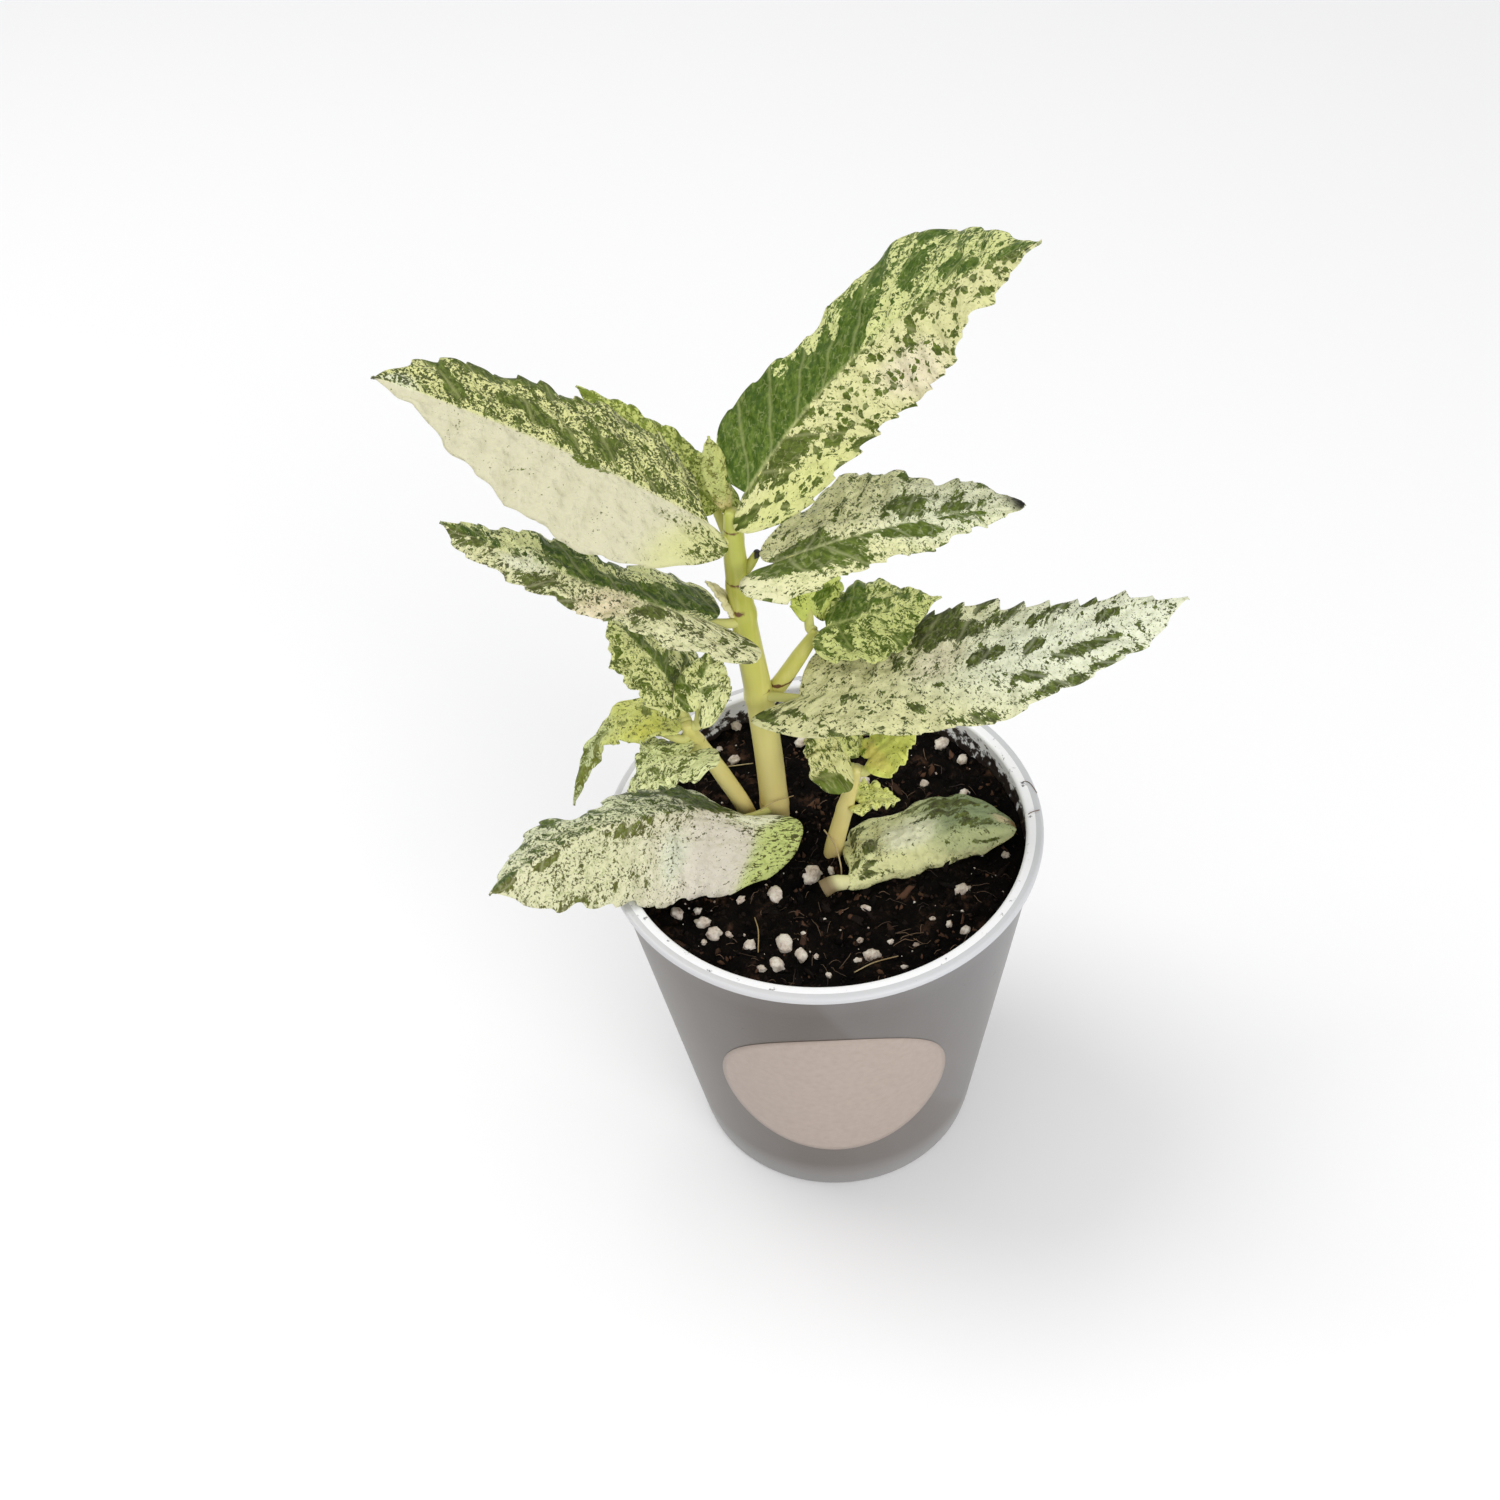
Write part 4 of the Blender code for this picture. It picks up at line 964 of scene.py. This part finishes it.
def grow(name, shape, ground, deep, green, specks, veins, dots=(0, 0), tints=(), patches=(),
         flecked=(), stains=(), stalk_tint=STALK_COLOUR):
    """Grows one leaf, paints it, and hangs it on its stem in place of its CAD node. Five pairs
    are for its left and right half: the colours ground and deep of the cream and of the green,
    and how green, flecked (specks) and dotted it is. veins counts the side veins. Then come
    ovals: tints and stains dab colours on, patches and flecked raise or lower green and specks."""
    length = np.linalg.norm(np.subtract(shape["tip"], shape["base"]))
    rows = int(np.clip(length / BLADE_STEP, 70, 165))
    surface, t, s, across = blade_surface(shape, rows, BLADE_COLUMNS)
    vein = (t - 0.16 * np.abs(s) ** 0.8) * veins + 0.5 * (s < 0)
    points, faces = closed_blade(surface, across, vein, s, t)
    layer = len(points) // 2

    even_green = two_sided(t, s, *green)
    greener = changed(even_green, patches, t, s, 0.12)
    speckled = two_sided(t, s, *specks) + 0.5 * (greener - even_green)
    speckled = np.clip(changed(speckled, flecked, t, s, 0), 0, 1)
    stained = dabbed(np.zeros((*t.shape, 4)), stains, t, s, 0)
    shift = np.full(t.shape, PATTERN_STEP * ((FIRST_PATTERN + len(leaves)) % PATTERNS))
    along = t * length - 0.7 * np.abs(across)
    rib_line = shape["rib"] * np.exp(-((across / 0.5) ** 2)) * np.clip((1 - t) / 0.5, 0, 1) ** 0.6
    # For each attribute: the upper skin's values, their share below, and the stalk's value.
    painting = {
        "ground": (dabbed(two_sided(t, s, *ground), tints, t, s, 0.1), 1, linear(*stalk_tint)),
        "deep": (two_sided(t, s, *deep), 1, linear(*stalk_tint)),
        "green": (np.clip(greener, 0, 1), 1, 0),
        "specks": (speckled, 1, 0),
        "dots": (two_sided(t, s, *dots), 1, 0),
        "vein": (vein, 1, 0.5),
        "rib": (rib_line, 0.4, 0),
        "stain": (stained, 0.5, 0),
        "place": (np.stack([t * length, across, shift], axis=2), 1, 0),
        "streaks": (np.stack([along * 1.15, across * 0.8, shift], axis=2), 1, 0),
    }
    if shape["stalk"]:
        under_blade = np.linspace(0.03, 0.72, 8)
        centre, _, _, normal = midrib(shape, under_blade)
        thick = shape["stalk"] * np.linspace(0.8, 0.35, len(under_blade))
        line = [*stalk_start(shape), *(centre - normal * (thick * 1.35)[:, None])]
        path = smooth_path(line, 5)
        radii = [shape["stalk"] * 1.1, shape["stalk"], *thick]
        tube_mesh(path, spread_out(radii, len(path)), STALK_SIDES, points, faces)
        if shape["joint"] is None:
            torn = np.linalg.norm(np.array(points[2 * layer:]) - path[0], axis=1)
            torn_end = np.zeros((len(torn), 4)) + linear(*TORN_COLOUR)
            torn_end[:, 3] = np.clip(3.0 - torn / 1.3, 0, 0.92)
            painting["stain"] = (stained, 0.5, torn_end)
    stalk_points = len(points) - 2 * layer
    piece = mesh_piece(name + "_blade", points, faces, leaf_skin)
    store(piece.data, "under", np.repeat([0, 1, 0.3], [layer, layer, stalk_points]))
    for attribute, (upper, below, stalk_value) in painting.items():
        upper = np.reshape(upper, (layer, -1))
        stalk = np.zeros((stalk_points, upper.shape[1])) + stalk_value
        store(piece.data, attribute, np.concatenate([upper, below * upper, stalk]))
    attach(piece, "root")
    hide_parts(name)
    leaves.append(piece)


# Two big leaves at the top, and a small young one behind them. The right one leans back, greener
# in its upper half; the left one is plain ivory in its near half and speckled in its far half.
grow(
    "leaf_top_right",
    leaf((-10, 9, 166), (42, 12, 210), ("main_stem", 0, 160),
         [8.5, 12, 11, 10.5, 13.3, 16.2, 13, 6.3, 0], [9, 12, 12, 13, 14, 14, 9.8, 5.5, 0],
         bow=0, sway=11, roll=22, fold=(0, 8), lobes=(0, 7.5), tooth=(0.5, 1.3), waves=5,
         teeth=(12, (6, 12, 18, 26, 33, 41, 48, 57, 64, 69, 74.5, 78, 86, 91, 95))),
    ground=((216, 220, 150), (224, 222, 163)), deep=((66, 92, 22), (80, 92, 32)),
    green=(0.42, 0.25), specks=(0.75, 0.42), dots=(0.9, 1.4), veins=10,
    tints=(((55, -70, 12, 40), (236, 226, 192)), ((12, -80, 14, 50), (217, 219, 146))),
    patches=((12, 50, 18, 65, 75), (32, 35, 14, 45, 60), (47, 40, 8, 40, 45), (27, 75, 3.5, 35, -50),
             (37, 85, 3, 20, -60), (42, 60, 3, 20, -50), (55, 20, 6, 25, -35), (57, 85, 3, 15, 50),
             (65, 55, 3, 15, 50), (62, 38, 2.5, 12, 50), (70, 90, 3, 12, 50), (75, 30, 3, 12, 50),
             (80, 15, 3, 10, 50), (16, -30, 7, 20, 40), (0, -55, 3, 10, 60), (24, -62, 2, 10, 60),
             (27, -95, 3, 12, 60), (33, -85, 2, 10, 60), (68, -5, 7, 7, 50), (60, -20, 2, 8, 50),
             (58, -40, 2, 8, 50), (95, 0, 8, 100, 25), (55, -90, 6, 25, -30), (82, 0, 12, 150, 8)),
)
grow(
    "leaf_top_left",
    leaf((-17, 7, 161.5), (-72, 13, 195), ("main_stem", 0, 156),
         [7.5, 12, 15.5, 15.5, 14, 11.5, 7.5, 3, 0], [10, 12.5, 14.5, 14.5, 13.5, 12.3, 10.8, 8.8, 0],
         bow=2, roll=-16, fold=(10, 4), lobes=(5, -3), tooth=(0.25, 1.2), waves=5, rib=0.3,
         teeth=(9, (6, 12, 20, 27, 34, 40, 46, 50, 57, 63, 69, 77, 84, 91))),
    ground=((214, 210, 179), (222, 222, 154)), deep=((96, 108, 38), (76, 88, 34)),
    green=(0, 0.37), specks=(0.06, 1), dots=(0, 0.6), veins=9,
    flecked=((2, 70, 7, 45, 90), (10, 25, 10, 15, 50)),
    tints=(((94, -30, 5, 40), (226, 228, 196)), ((4, 60, 12, 60), (212, 212, 152))),
    patches=((2, 70, 6, 45, 40), (38, 4, 6, 5, 90), (35, -30, 4, 25, 60), (45, -20, 3, 15, 50),
             (55, -35, 5, 15, 40), (62, -50, 5, 15, 40), (72, -90, 6, 15, 60), (60, -92, 20, 10, 40),
             (82, -60, 3, 50, 40), (90, -50, 5, 60, -20), (99, 0, 2, 100, 80)),
    stains=(((100, 0, 1.5, 200), (62, 66, 40)),),
)
grow(
    "leaf_top_back",
    leaf((-15, 13.5, 159.5), (-39.3, 33, 175.5), ("main_stem", 0, 155.5),
         [4, 5, 6, 7, 7, 6, 4.5, 2, 0], [5.5, 6, 6, 6, 5, 4, 3, 1.5, 0],
         bow=1.5, sway=-0.7, roll=-8, lobes=(0, 2), teeth=(9, 9)),
    ground=((196, 204, 114), (200, 208, 118)), deep=((118, 134, 42), (118, 134, 42)),
    green=(0.42, 0.4), specks=(0.9, 0.9), veins=6,
    patches=((95, 0, 10, 100, 40),),
)

# Two leaves in the middle: the right one is cream with a dark wedge in its near half and a dried
# tip; the left one has a broad dark band beside its midrib.
grow(
    "leaf_upper_right",
    leaf((-6, 5, 152.5), (41, 11, 156), ("main_stem", 0, 143.5),
         [7, 10.5, 14.5, 16.3, 14.3, 11.3, 8.3, 6.8, 2], [7.5, 8.5, 7.5, 6.3, 6.8, 5.8, 4.3, 2.5, 1.5],
         ear=3, bow=4.5, sway=-2.5, roll=12, fold=(4, 8), lobes=(2.5, 7), tooth=(1.2, 1.1),
         teeth=((8, 14, 20, 26, 32, 39.5, 45, 50.5, 59.5, 69.5, 79, 84.5, 91, 96),
                (10, 19, 27, 34, 41, 50, 60, 66, 75, 83, 91))),
    ground=((230, 228, 178), (228, 227, 174)), deep=((76, 88, 34), (80, 96, 32)),
    green=(0.27, 0.27), specks=(0.58, 0.6), dots=(0.5, 0.7), veins=8,
    tints=(((70, 0, 30, 120), (232, 234, 200)), ((0, -70, 10, 50), (228, 226, 182))),
    patches=((16, 12, 5, 16, 90), (4, 8, 5, 10, 60), (28, 45, 3, 12, 40), (56, 28, 7, 25, 60),
             (45, 25, 3, 15, 40), (72, 10, 9, 14, 60), (75, 50, 3, 20, 40), (90, 90, 5, 20, 50),
             (60, 90, 6, 15, 30), (45, 92, 4, 12, 40), (15, -20, 20, 30, 85), (27, -60, 8, 35, 45),
             (38, -8, 9, 7, 50), (52, -27, 9, 22, 60), (60, -45, 6, 20, 50), (73, -20, 8, 12, 60),
             (80, -30, 4, 12, 50), (4, -70, 7, 40, -25)),
    stains=(((100, 0, 6, 200), (26, 22, 18)),),
)
grow(
    "leaf_middle_left",
    leaf((-19, 4, 141), (-65, 8, 166.5), ("main_stem", 0, 137),
         [7.5, 7, 6.5, 6, 6, 5.3, 4.5, 4.2, 0], [11.5, 11.8, 10.3, 8.8, 9.3, 9.3, 6.2, 4.2, 0],
         bow=0, sway=2, roll=-10, lobes=(11, 3), ear=3.5, tooth=(0.8, 1),
         teeth=((10, 20, 29, 38, 47, 55, 66, 73, 80, 88, 94),
                (8, 15, 22, 30, 38, 45, 52, 60, 66, 73, 80, 88, 94))),
    ground=((230, 228, 182), (222, 224, 168)), deep=((86, 90, 48), (62, 82, 34)),
    green=(0.35, 0.38), specks=(0.75, 0.75), dots=(0.2, 0.2), veins=8,
    tints=(((38, 50, 10, 80), (236, 222, 188)), ((68, 20, 9, 40), (236, 236, 208))),
    patches=((5, -50, 7, 35, 80), (15, -30, 6, 25, 80), (24, -25, 10, 22, 85), (46, -30, 14, 25, 85),
             (58, -70, 8, 22, 75), (38, -90, 7, 12, 60), (22, -75, 7, 20, -30), (65, -20, 3, 15, 50),
             (88, 0, 10, 120, 28), (72, -50, 7, 30, -20), (22, 25, 4, 20, 50), (28, 40, 3, 15, 30),
             (38, 50, 8, 60, -25), (53, 92, 6, 12, 60), (62, 60, 8, 30, 30), (68, 20, 7, 25, -30),
             (98, 0, 5, 120, 60)),
)

# The long right leaf: mint white past its base, with dark elongated blots between its veins.
grow(
    "leaf_long_right",
    leaf((-3, 4, 119), (72, 6, 134), ("main_stem", 0, 115.5),
         [13, 14, 15.2, 16, 14.8, 11, 8.6, 5.2, 0], [5, 8, 9.5, 10.5, 10.5, 8.2, 6.8, 5, 0],
         bow=2, sway=-7, roll=18, fold=(3, 7), lobes=(0, 9.5), tooth=(1.8, 0.5), waves=5,
         teeth=((7, 13, 20, 26, 30, 36, 41, 45.3, 54.8, 61.5, 68, 75.5, 80, 87, 93),
                (5, 13, 21, 30, 38, 47, 55, 63, 72, 80, 87, 93))),
    ground=((224, 221, 168), (224, 222, 168)), deep=((72, 78, 38), (76, 84, 42)),
    green=(0.26, 0.26), specks=(0.47, 0.47), dots=(0.5, 0.5), veins=9,
    tints=(((75, 0, 42, 160), (238, 241, 214)), ((36, 25, 7, 30), (230, 224, 190))),
    patches=((12, 75, 4, 20, 40), (22, 70, 5, 20, 65), (27, 30, 3, 15, 40), (45, 60, 4.5, 14, 60),
             (33, 90, 5, 15, 70), (70, 90, 3, 12, 60), (20, 95, 5, 10, 50), (37, 72, 6, 28, 85),
             (42, 96, 2, 10, 70), (50, 95, 2.5, 12, 70), (57, 90, 2.5, 12, 60), (54, 72, 3, 15, 50),
             (46.5, 17, 2.5, 14, 75), (51, 18, 2, 12, 70), (61, 18, 2.5, 12, 80), (65, 75, 3, 15, 45),
             (62, 60, 2, 10, 40), (78, 93, 3, 12, 60), (81, 45, 3, 14, 70), (90, 60, 3, 20, 30),
             (14, -12, 2, 7, 50), (2, -65, 3, 15, 50), (5, -45, 3, 12, 50), (30, -50, 2.5, 12, 50),
             (36, -15, 2, 8, 50), (42, -88, 8, 12, 45), (57, -45, 3.5, 16, 75), (62, -88, 8, 14, 60),
             (73, -25, 8, 16, 80), (78, -88, 9, 14, 45)),
)

# The low left leaf arches over the rim: its near half hangs down, ivory and finely speckled,
# with a grass green lobe at its base.
grow(
    "leaf_low_left",
    leaf((-14.5, 4, 86), (-67, -17, 93), ("main_stem", 0, 82),
         [15, 17.5, 18, 18.6, 17.5, 15.4, 12.6, 10.8, 0], [16, 17, 16.5, 14, 9.5, 9.5, 12, 8.5, 0],
         bow=7.5, sway=-2, fold=(34, 16), ear=3, lobes=(12.5, -4), tooth=(0.7, 1.3), rib=0.3, blunt=12,
         teeth=((8, 16, 22, 29, 37, 45, 54, 64, 75, 86, 94),
                (6, 13, 20, 27, 35, 42, 50, 56, 73, 80, 88, 95))),
    ground=((232, 226, 202), (228, 231, 194)), deep=((98, 96, 50), (70, 84, 42)),
    green=(0.18, 0.38), specks=(0.52, 0.8), dots=(0, 0.1), veins=9,
    flecked=((0, 60, 10, 100, 16), (22, 60, 10, 80, -20), (80, 40, 25, 60, 18)),
    tints=(((0, 60, 11, 110), (210, 222, 138), 8), ((20, 50, 10, 90), (232, 224, 208)),
           ((33, 50, 6, 30), (228, 230, 208)), ((3, 10, 9, 20), (238, 238, 206), 4),
           ((75, 50, 33, 100), (222, 221, 180))),
    patches=((5, 65, 5, 60, 8), (20, 55, 10, 60, -30), (33, 50, 7, 25, -10), (42, 10, 20, 12, 30),
             (60, 50, 25, 45, 6), (80, 13, 5, 8, 90), (60, 75, 1.5, 6, 60), (47, 70, 1.2, 5, 60),
             (80, 92, 12, 12, 40), (97, 30, 5, 90, 60), (17, -50, 8, 70, 90), (3, -50, 5, 90, -30),
             (35, -75, 5, 20, 30), (55, -80, 5, 20, 30), (70, -90, 5, 15, 40), (2, 10, 6, 16, -50)),
)

# The cut leaf lies rolled up on the soil at the right front; its stalk is cut and its tip is
# brown. A pale cream patch in its middle is a painted highlight.
grow(
    "leaf_fallen",
    leaf((3.6, -12, 82), (39.5, -3, 82.5), None,
         [7, 11.5, 14.5, 13.5, 13, 16, 16.5, 14, 8], [4, 5, 7, 8, 8, 8, 7, 6, 4],
         bow=2, sway=4, fold=(5, 15), curl=(35, 78), lobes=(-3.5, 1), teeth=(5, 4), tooth=(0.5, 0.1),
         stalk=1.7, blunt=10, ruffle=0.4, rib=0.3),
    ground=((226, 228, 168), (226, 226, 166)), deep=((76, 76, 42), (76, 78, 38)),
    green=(0.24, 0.24), specks=(0.3, 0.24), dots=(0.3, 0.3), veins=5, stalk_tint=(230, 226, 168),
    flecked=((15, 20, 15, 80, 30),),
    # The second tint, pale cream in the middle of the blade, is a painted highlight.
    tints=(((80, 45, 33, 100), (142, 156, 114)), ((42, 10, 16, 35), (242, 242, 206)),
           ((80, -40, 25, 40), (184, 190, 138)), ((95, 35, 6, 20), (206, 190, 150))),
    patches=((70, 60, 12, 50, 20), (80, 10, 12, 10, 50), (85, -50, 10, 6, 50), (60, 35, 16, 6, 50),
             (55, 75, 16, 7, 50), (72, 55, 16, 7, 50), (22, 70, 8, 20, 35), (8, 15, 5, 10, 40),
             (20, 22, 5, 10, 80), (15, -10, 4, 12, 80), (10, -40, 5, 20, 50), (40, -10, 12, 60, -25)),
    stains=(((99, 40, 3, 30), (120, 92, 52)),),
)

# Side shoots: small crowded leaves on the right branch, on the left stem and on the low right
# stem. The youngest are yellow green.
grow(
    "right_branch_leaf_1",
    leaf((3.4, 12.6, 129), (26.2, 14.6, 132), ("main_stem", 1, 126.5),
         [8, 9.5, 10.5, 10.5, 10, 8, 5.5, 2.5, 0], [7, 8, 9.5, 10, 9.5, 7.5, 4.5, 1.5, 0],
         sway=-1, roll=10, lobes=(0, 3), teeth=(8, 8), tooth=(0.9, 0.8)),
    ground=((220, 224, 150), (214, 220, 142)), deep=((72, 96, 24), (76, 96, 28)),
    green=(0.46, 0.4), specks=(0.7, 0.7), dots=(0.2, 0.2), veins=6,
    patches=((24, 45, 13, 50, 80), (4, 25, 7, 30, 50), (70, 45, 6, 20, 30), (17, -50, 5, 20, 45),
             (60, -80, 8, 20, 40), (92, 0, 8, 100, -20)),
)
grow(
    "right_branch_leaf_2",
    leaf((0.9, 16.6, 129.6), (-0.5, 20.5, 139), ("main_stem", 1, 127),
         [2.5, 3.5, 4, 4, 4, 3.5, 2.5, 1.5, 0], [5, 7, 8, 8, 7.5, 6, 4, 2, 0],
         lobes=(2, 3)),
    ground=((204, 214, 112), (206, 216, 122)), deep=((92, 112, 28), (82, 104, 26)),
    green=(0.2, 0.35), specks=(0.5, 0.5), veins=4,
    patches=((30, -40, 15, 30, 60),),
)
grow(
    "left_stem_leaf_1",
    leaf((-26.8, 7, 118.5), (-38.5, 15, 133.5), ("left_stem", 0, 113.5),
         [5, 6, 7, 7.5, 8, 8, 7, 4.5, 0], [12, 14, 14.5, 14, 13, 11, 8, 4, 0],
         bow=1.5, sway=-0.5, roll=10, lobes=(3, 3), teeth=(7, 7), tooth=(0.8, 0.8)),
    ground=((222, 224, 154), (226, 227, 166)), deep=((90, 106, 32), (78, 96, 30)),
    green=(0.33, 0.34), specks=(0.8, 0.8), dots=(0.3, 0.3), veins=6,
    patches=((45, -12, 40, 12, 70), (75, 70, 5, 20, 80), (35, -30, 6, 10, 30), (20, -55, 6, 15, 50),
             (50, -60, 4, 10, 50)),
)
grow(
    "left_stem_leaf_2",
    leaf((-22.6, 4, 118), (-17, 12, 127.5), ("left_stem", 0, 113),
         [5, 5.5, 5.5, 5, 4, 3, 2, 1, 0], [4.5, 5.5, 6, 6, 5.5, 4.5, 3, 1.5, 0],
         bow=2.5, roll=24, lobes=(1, 4), tooth=(0.6, 0.6)),
    ground=((224, 226, 158), (226, 228, 166)), deep=((84, 100, 32), (82, 98, 32)),
    green=(0.32, 0.3), specks=(0.6, 0.6), veins=5,
    patches=((30, 90, 10, 30, 60), (10, 60, 8, 25, 50), (55, 20, 10, 20, 60), (75, -10, 6, 20, 60),
             (30, -20, 8, 15, 70)),
)
grow(
    "left_stem_leaf_3",
    leaf((-28, 2.6, 113), (-50.4, 6.5, 91.5), ("left_stem", 0, 111.5),
         [1.5, 3.5, 4.5, 4, 3, 2.5, 2.5, 1.5, 0], [6, 7.5, 9, 9.5, 6, 3, 1.5, 0.8, 0],
         bow=5.5, sway=-7, roll=-10, lobes=(2, 0), teeth=(9, 9)),
    ground=((213, 216, 124), (209, 212, 118)), deep=((116, 118, 46), (104, 110, 42)),
    green=(0.2, 0.25), specks=(0.55, 0.6), veins=7,
    tints=(((80, 0, 35, 200), (198, 206, 154)), ((15, 30, 12, 60), (206, 206, 96))),
    patches=((25, -50, 5, 30, 40), (35, 0, 8, 12, 40), (75, 0, 30, 200, 35)),
)
grow(
    "left_stem_leaf_4",
    leaf((-25.5, 0.8, 109.3), (-38, -4, 105), ("left_stem", 0, 108.5),
         [6.5, 7, 7, 6.5, 6, 5, 3.5, 2, 0], [5.5, 7, 8, 8.5, 8, 7, 5, 2.5, 0],
         bow=4, sway=1, lobes=(5, 3)),
    ground=((224, 228, 168), (220, 226, 160)), deep=((96, 104, 46), (92, 102, 42)),
    green=(0.37, 0.38), specks=(0.75, 0.75), veins=5,
)
grow(
    "low_right_leaf_1",
    leaf((6, 1.4, 103.5), (0, 10, 109), ("low_right_stem", 0, 101.5),
         [8, 9, 8, 7.5, 7, 6, 4.5, 2.5, 0], [4, 5.5, 6.5, 6.5, 6, 5, 3.5, 2, 0],
         lobes=(6, 1)),
    ground=((224, 222, 156), (216, 220, 140)), deep=((92, 104, 36), (92, 104, 36)),
    green=(0.34, 0.32), specks=(0.7, 0.6), veins=4,
    patches=((5, 80, 10, 30, 50),),
)
grow(
    "low_right_leaf_2",
    leaf((10, 0.2, 104), (23.4, 6, 107), ("low_right_stem", 0, 101.5),
         [3.5, 5, 6, 6, 5.5, 5, 3.5, 2, 0], [5, 6.5, 6.5, 5.5, 4.5, 3, 2, 1, 0],
         bow=2, lobes=(1, 2), teeth=(7, 7)),
    ground=((208, 216, 106), (216, 221, 112)), deep=((104, 128, 28), (128, 144, 40)),
    green=(0.35, 0.12), specks=(0.4, 0.3), veins=5,
    tints=(((5, 0, 12, 80), (216, 206, 108)),),
    patches=((50, 10, 15, 30, 30),),
)
grow(
    "low_right_leaf_3",
    leaf((8, -0.8, 92.2), (16, 1, 90.2), ("low_right_stem", 0, 91),
         [5, 6, 7, 7, 6, 5, 3.5, 2, 0], [2.5, 2.8, 2.4, 2, 2, 2, 1.5, 1, 0],
         lobes=(1, 3), teeth=(5, 5), tooth=(0.4, 0.4), stalk=0.7),
    ground=((232, 236, 140), (236, 238, 148)), deep=((132, 146, 40), (132, 146, 44)),
    green=(0.16, 0.12), specks=(0.6, 0.55), veins=4,
)

# The growing point: a folded bud and a small pale scale at a joint, both without a stalk.
grow(
    "bud",
    leaf((-13.4, 10.2, 161), (-15.8, 14.8, 175), ("main_stem", 0, 161.5),
         [1.3, 2, 2.6, 3.1, 3.3, 3.3, 2.9, 2.3, 0], [1, 1.5, 1.9, 2.2, 2.4, 2.4, 2.2, 1.7, 0],
         fold=(20, 20), teeth=(5, 5), tooth=(0.25, 0.25), stalk=0, ruffle=0.3, blunt=6),
    ground=((188, 194, 120), (192, 196, 118)), deep=((140, 140, 68), (140, 140, 68)),
    green=(0.3, 0.2), specks=(0.7, 0.5), veins=5,
    tints=(((0, 0, 18, 200), (204, 190, 130)),),
)
grow(
    "stipule",
    leaf((-13.9, 9.2, 136.8), (-18.9, 9.2, 146), ("main_stem", 0, 138),
         [1.2, 2, 2.5, 2.6, 2.4, 2, 1.4, 0.8, 0], [1.2, 2, 2.5, 2.6, 2.4, 2, 1.4, 0.8, 0],
         teeth=(4, 4), tooth=(0.1, 0.1), stalk=0, ruffle=0.2),
    ground=((226, 218, 170), (228, 220, 174)), deep=((192, 172, 102), (192, 172, 102)),
    green=(0.1, 0.1), specks=(0.2, 0.2), veins=3,
)
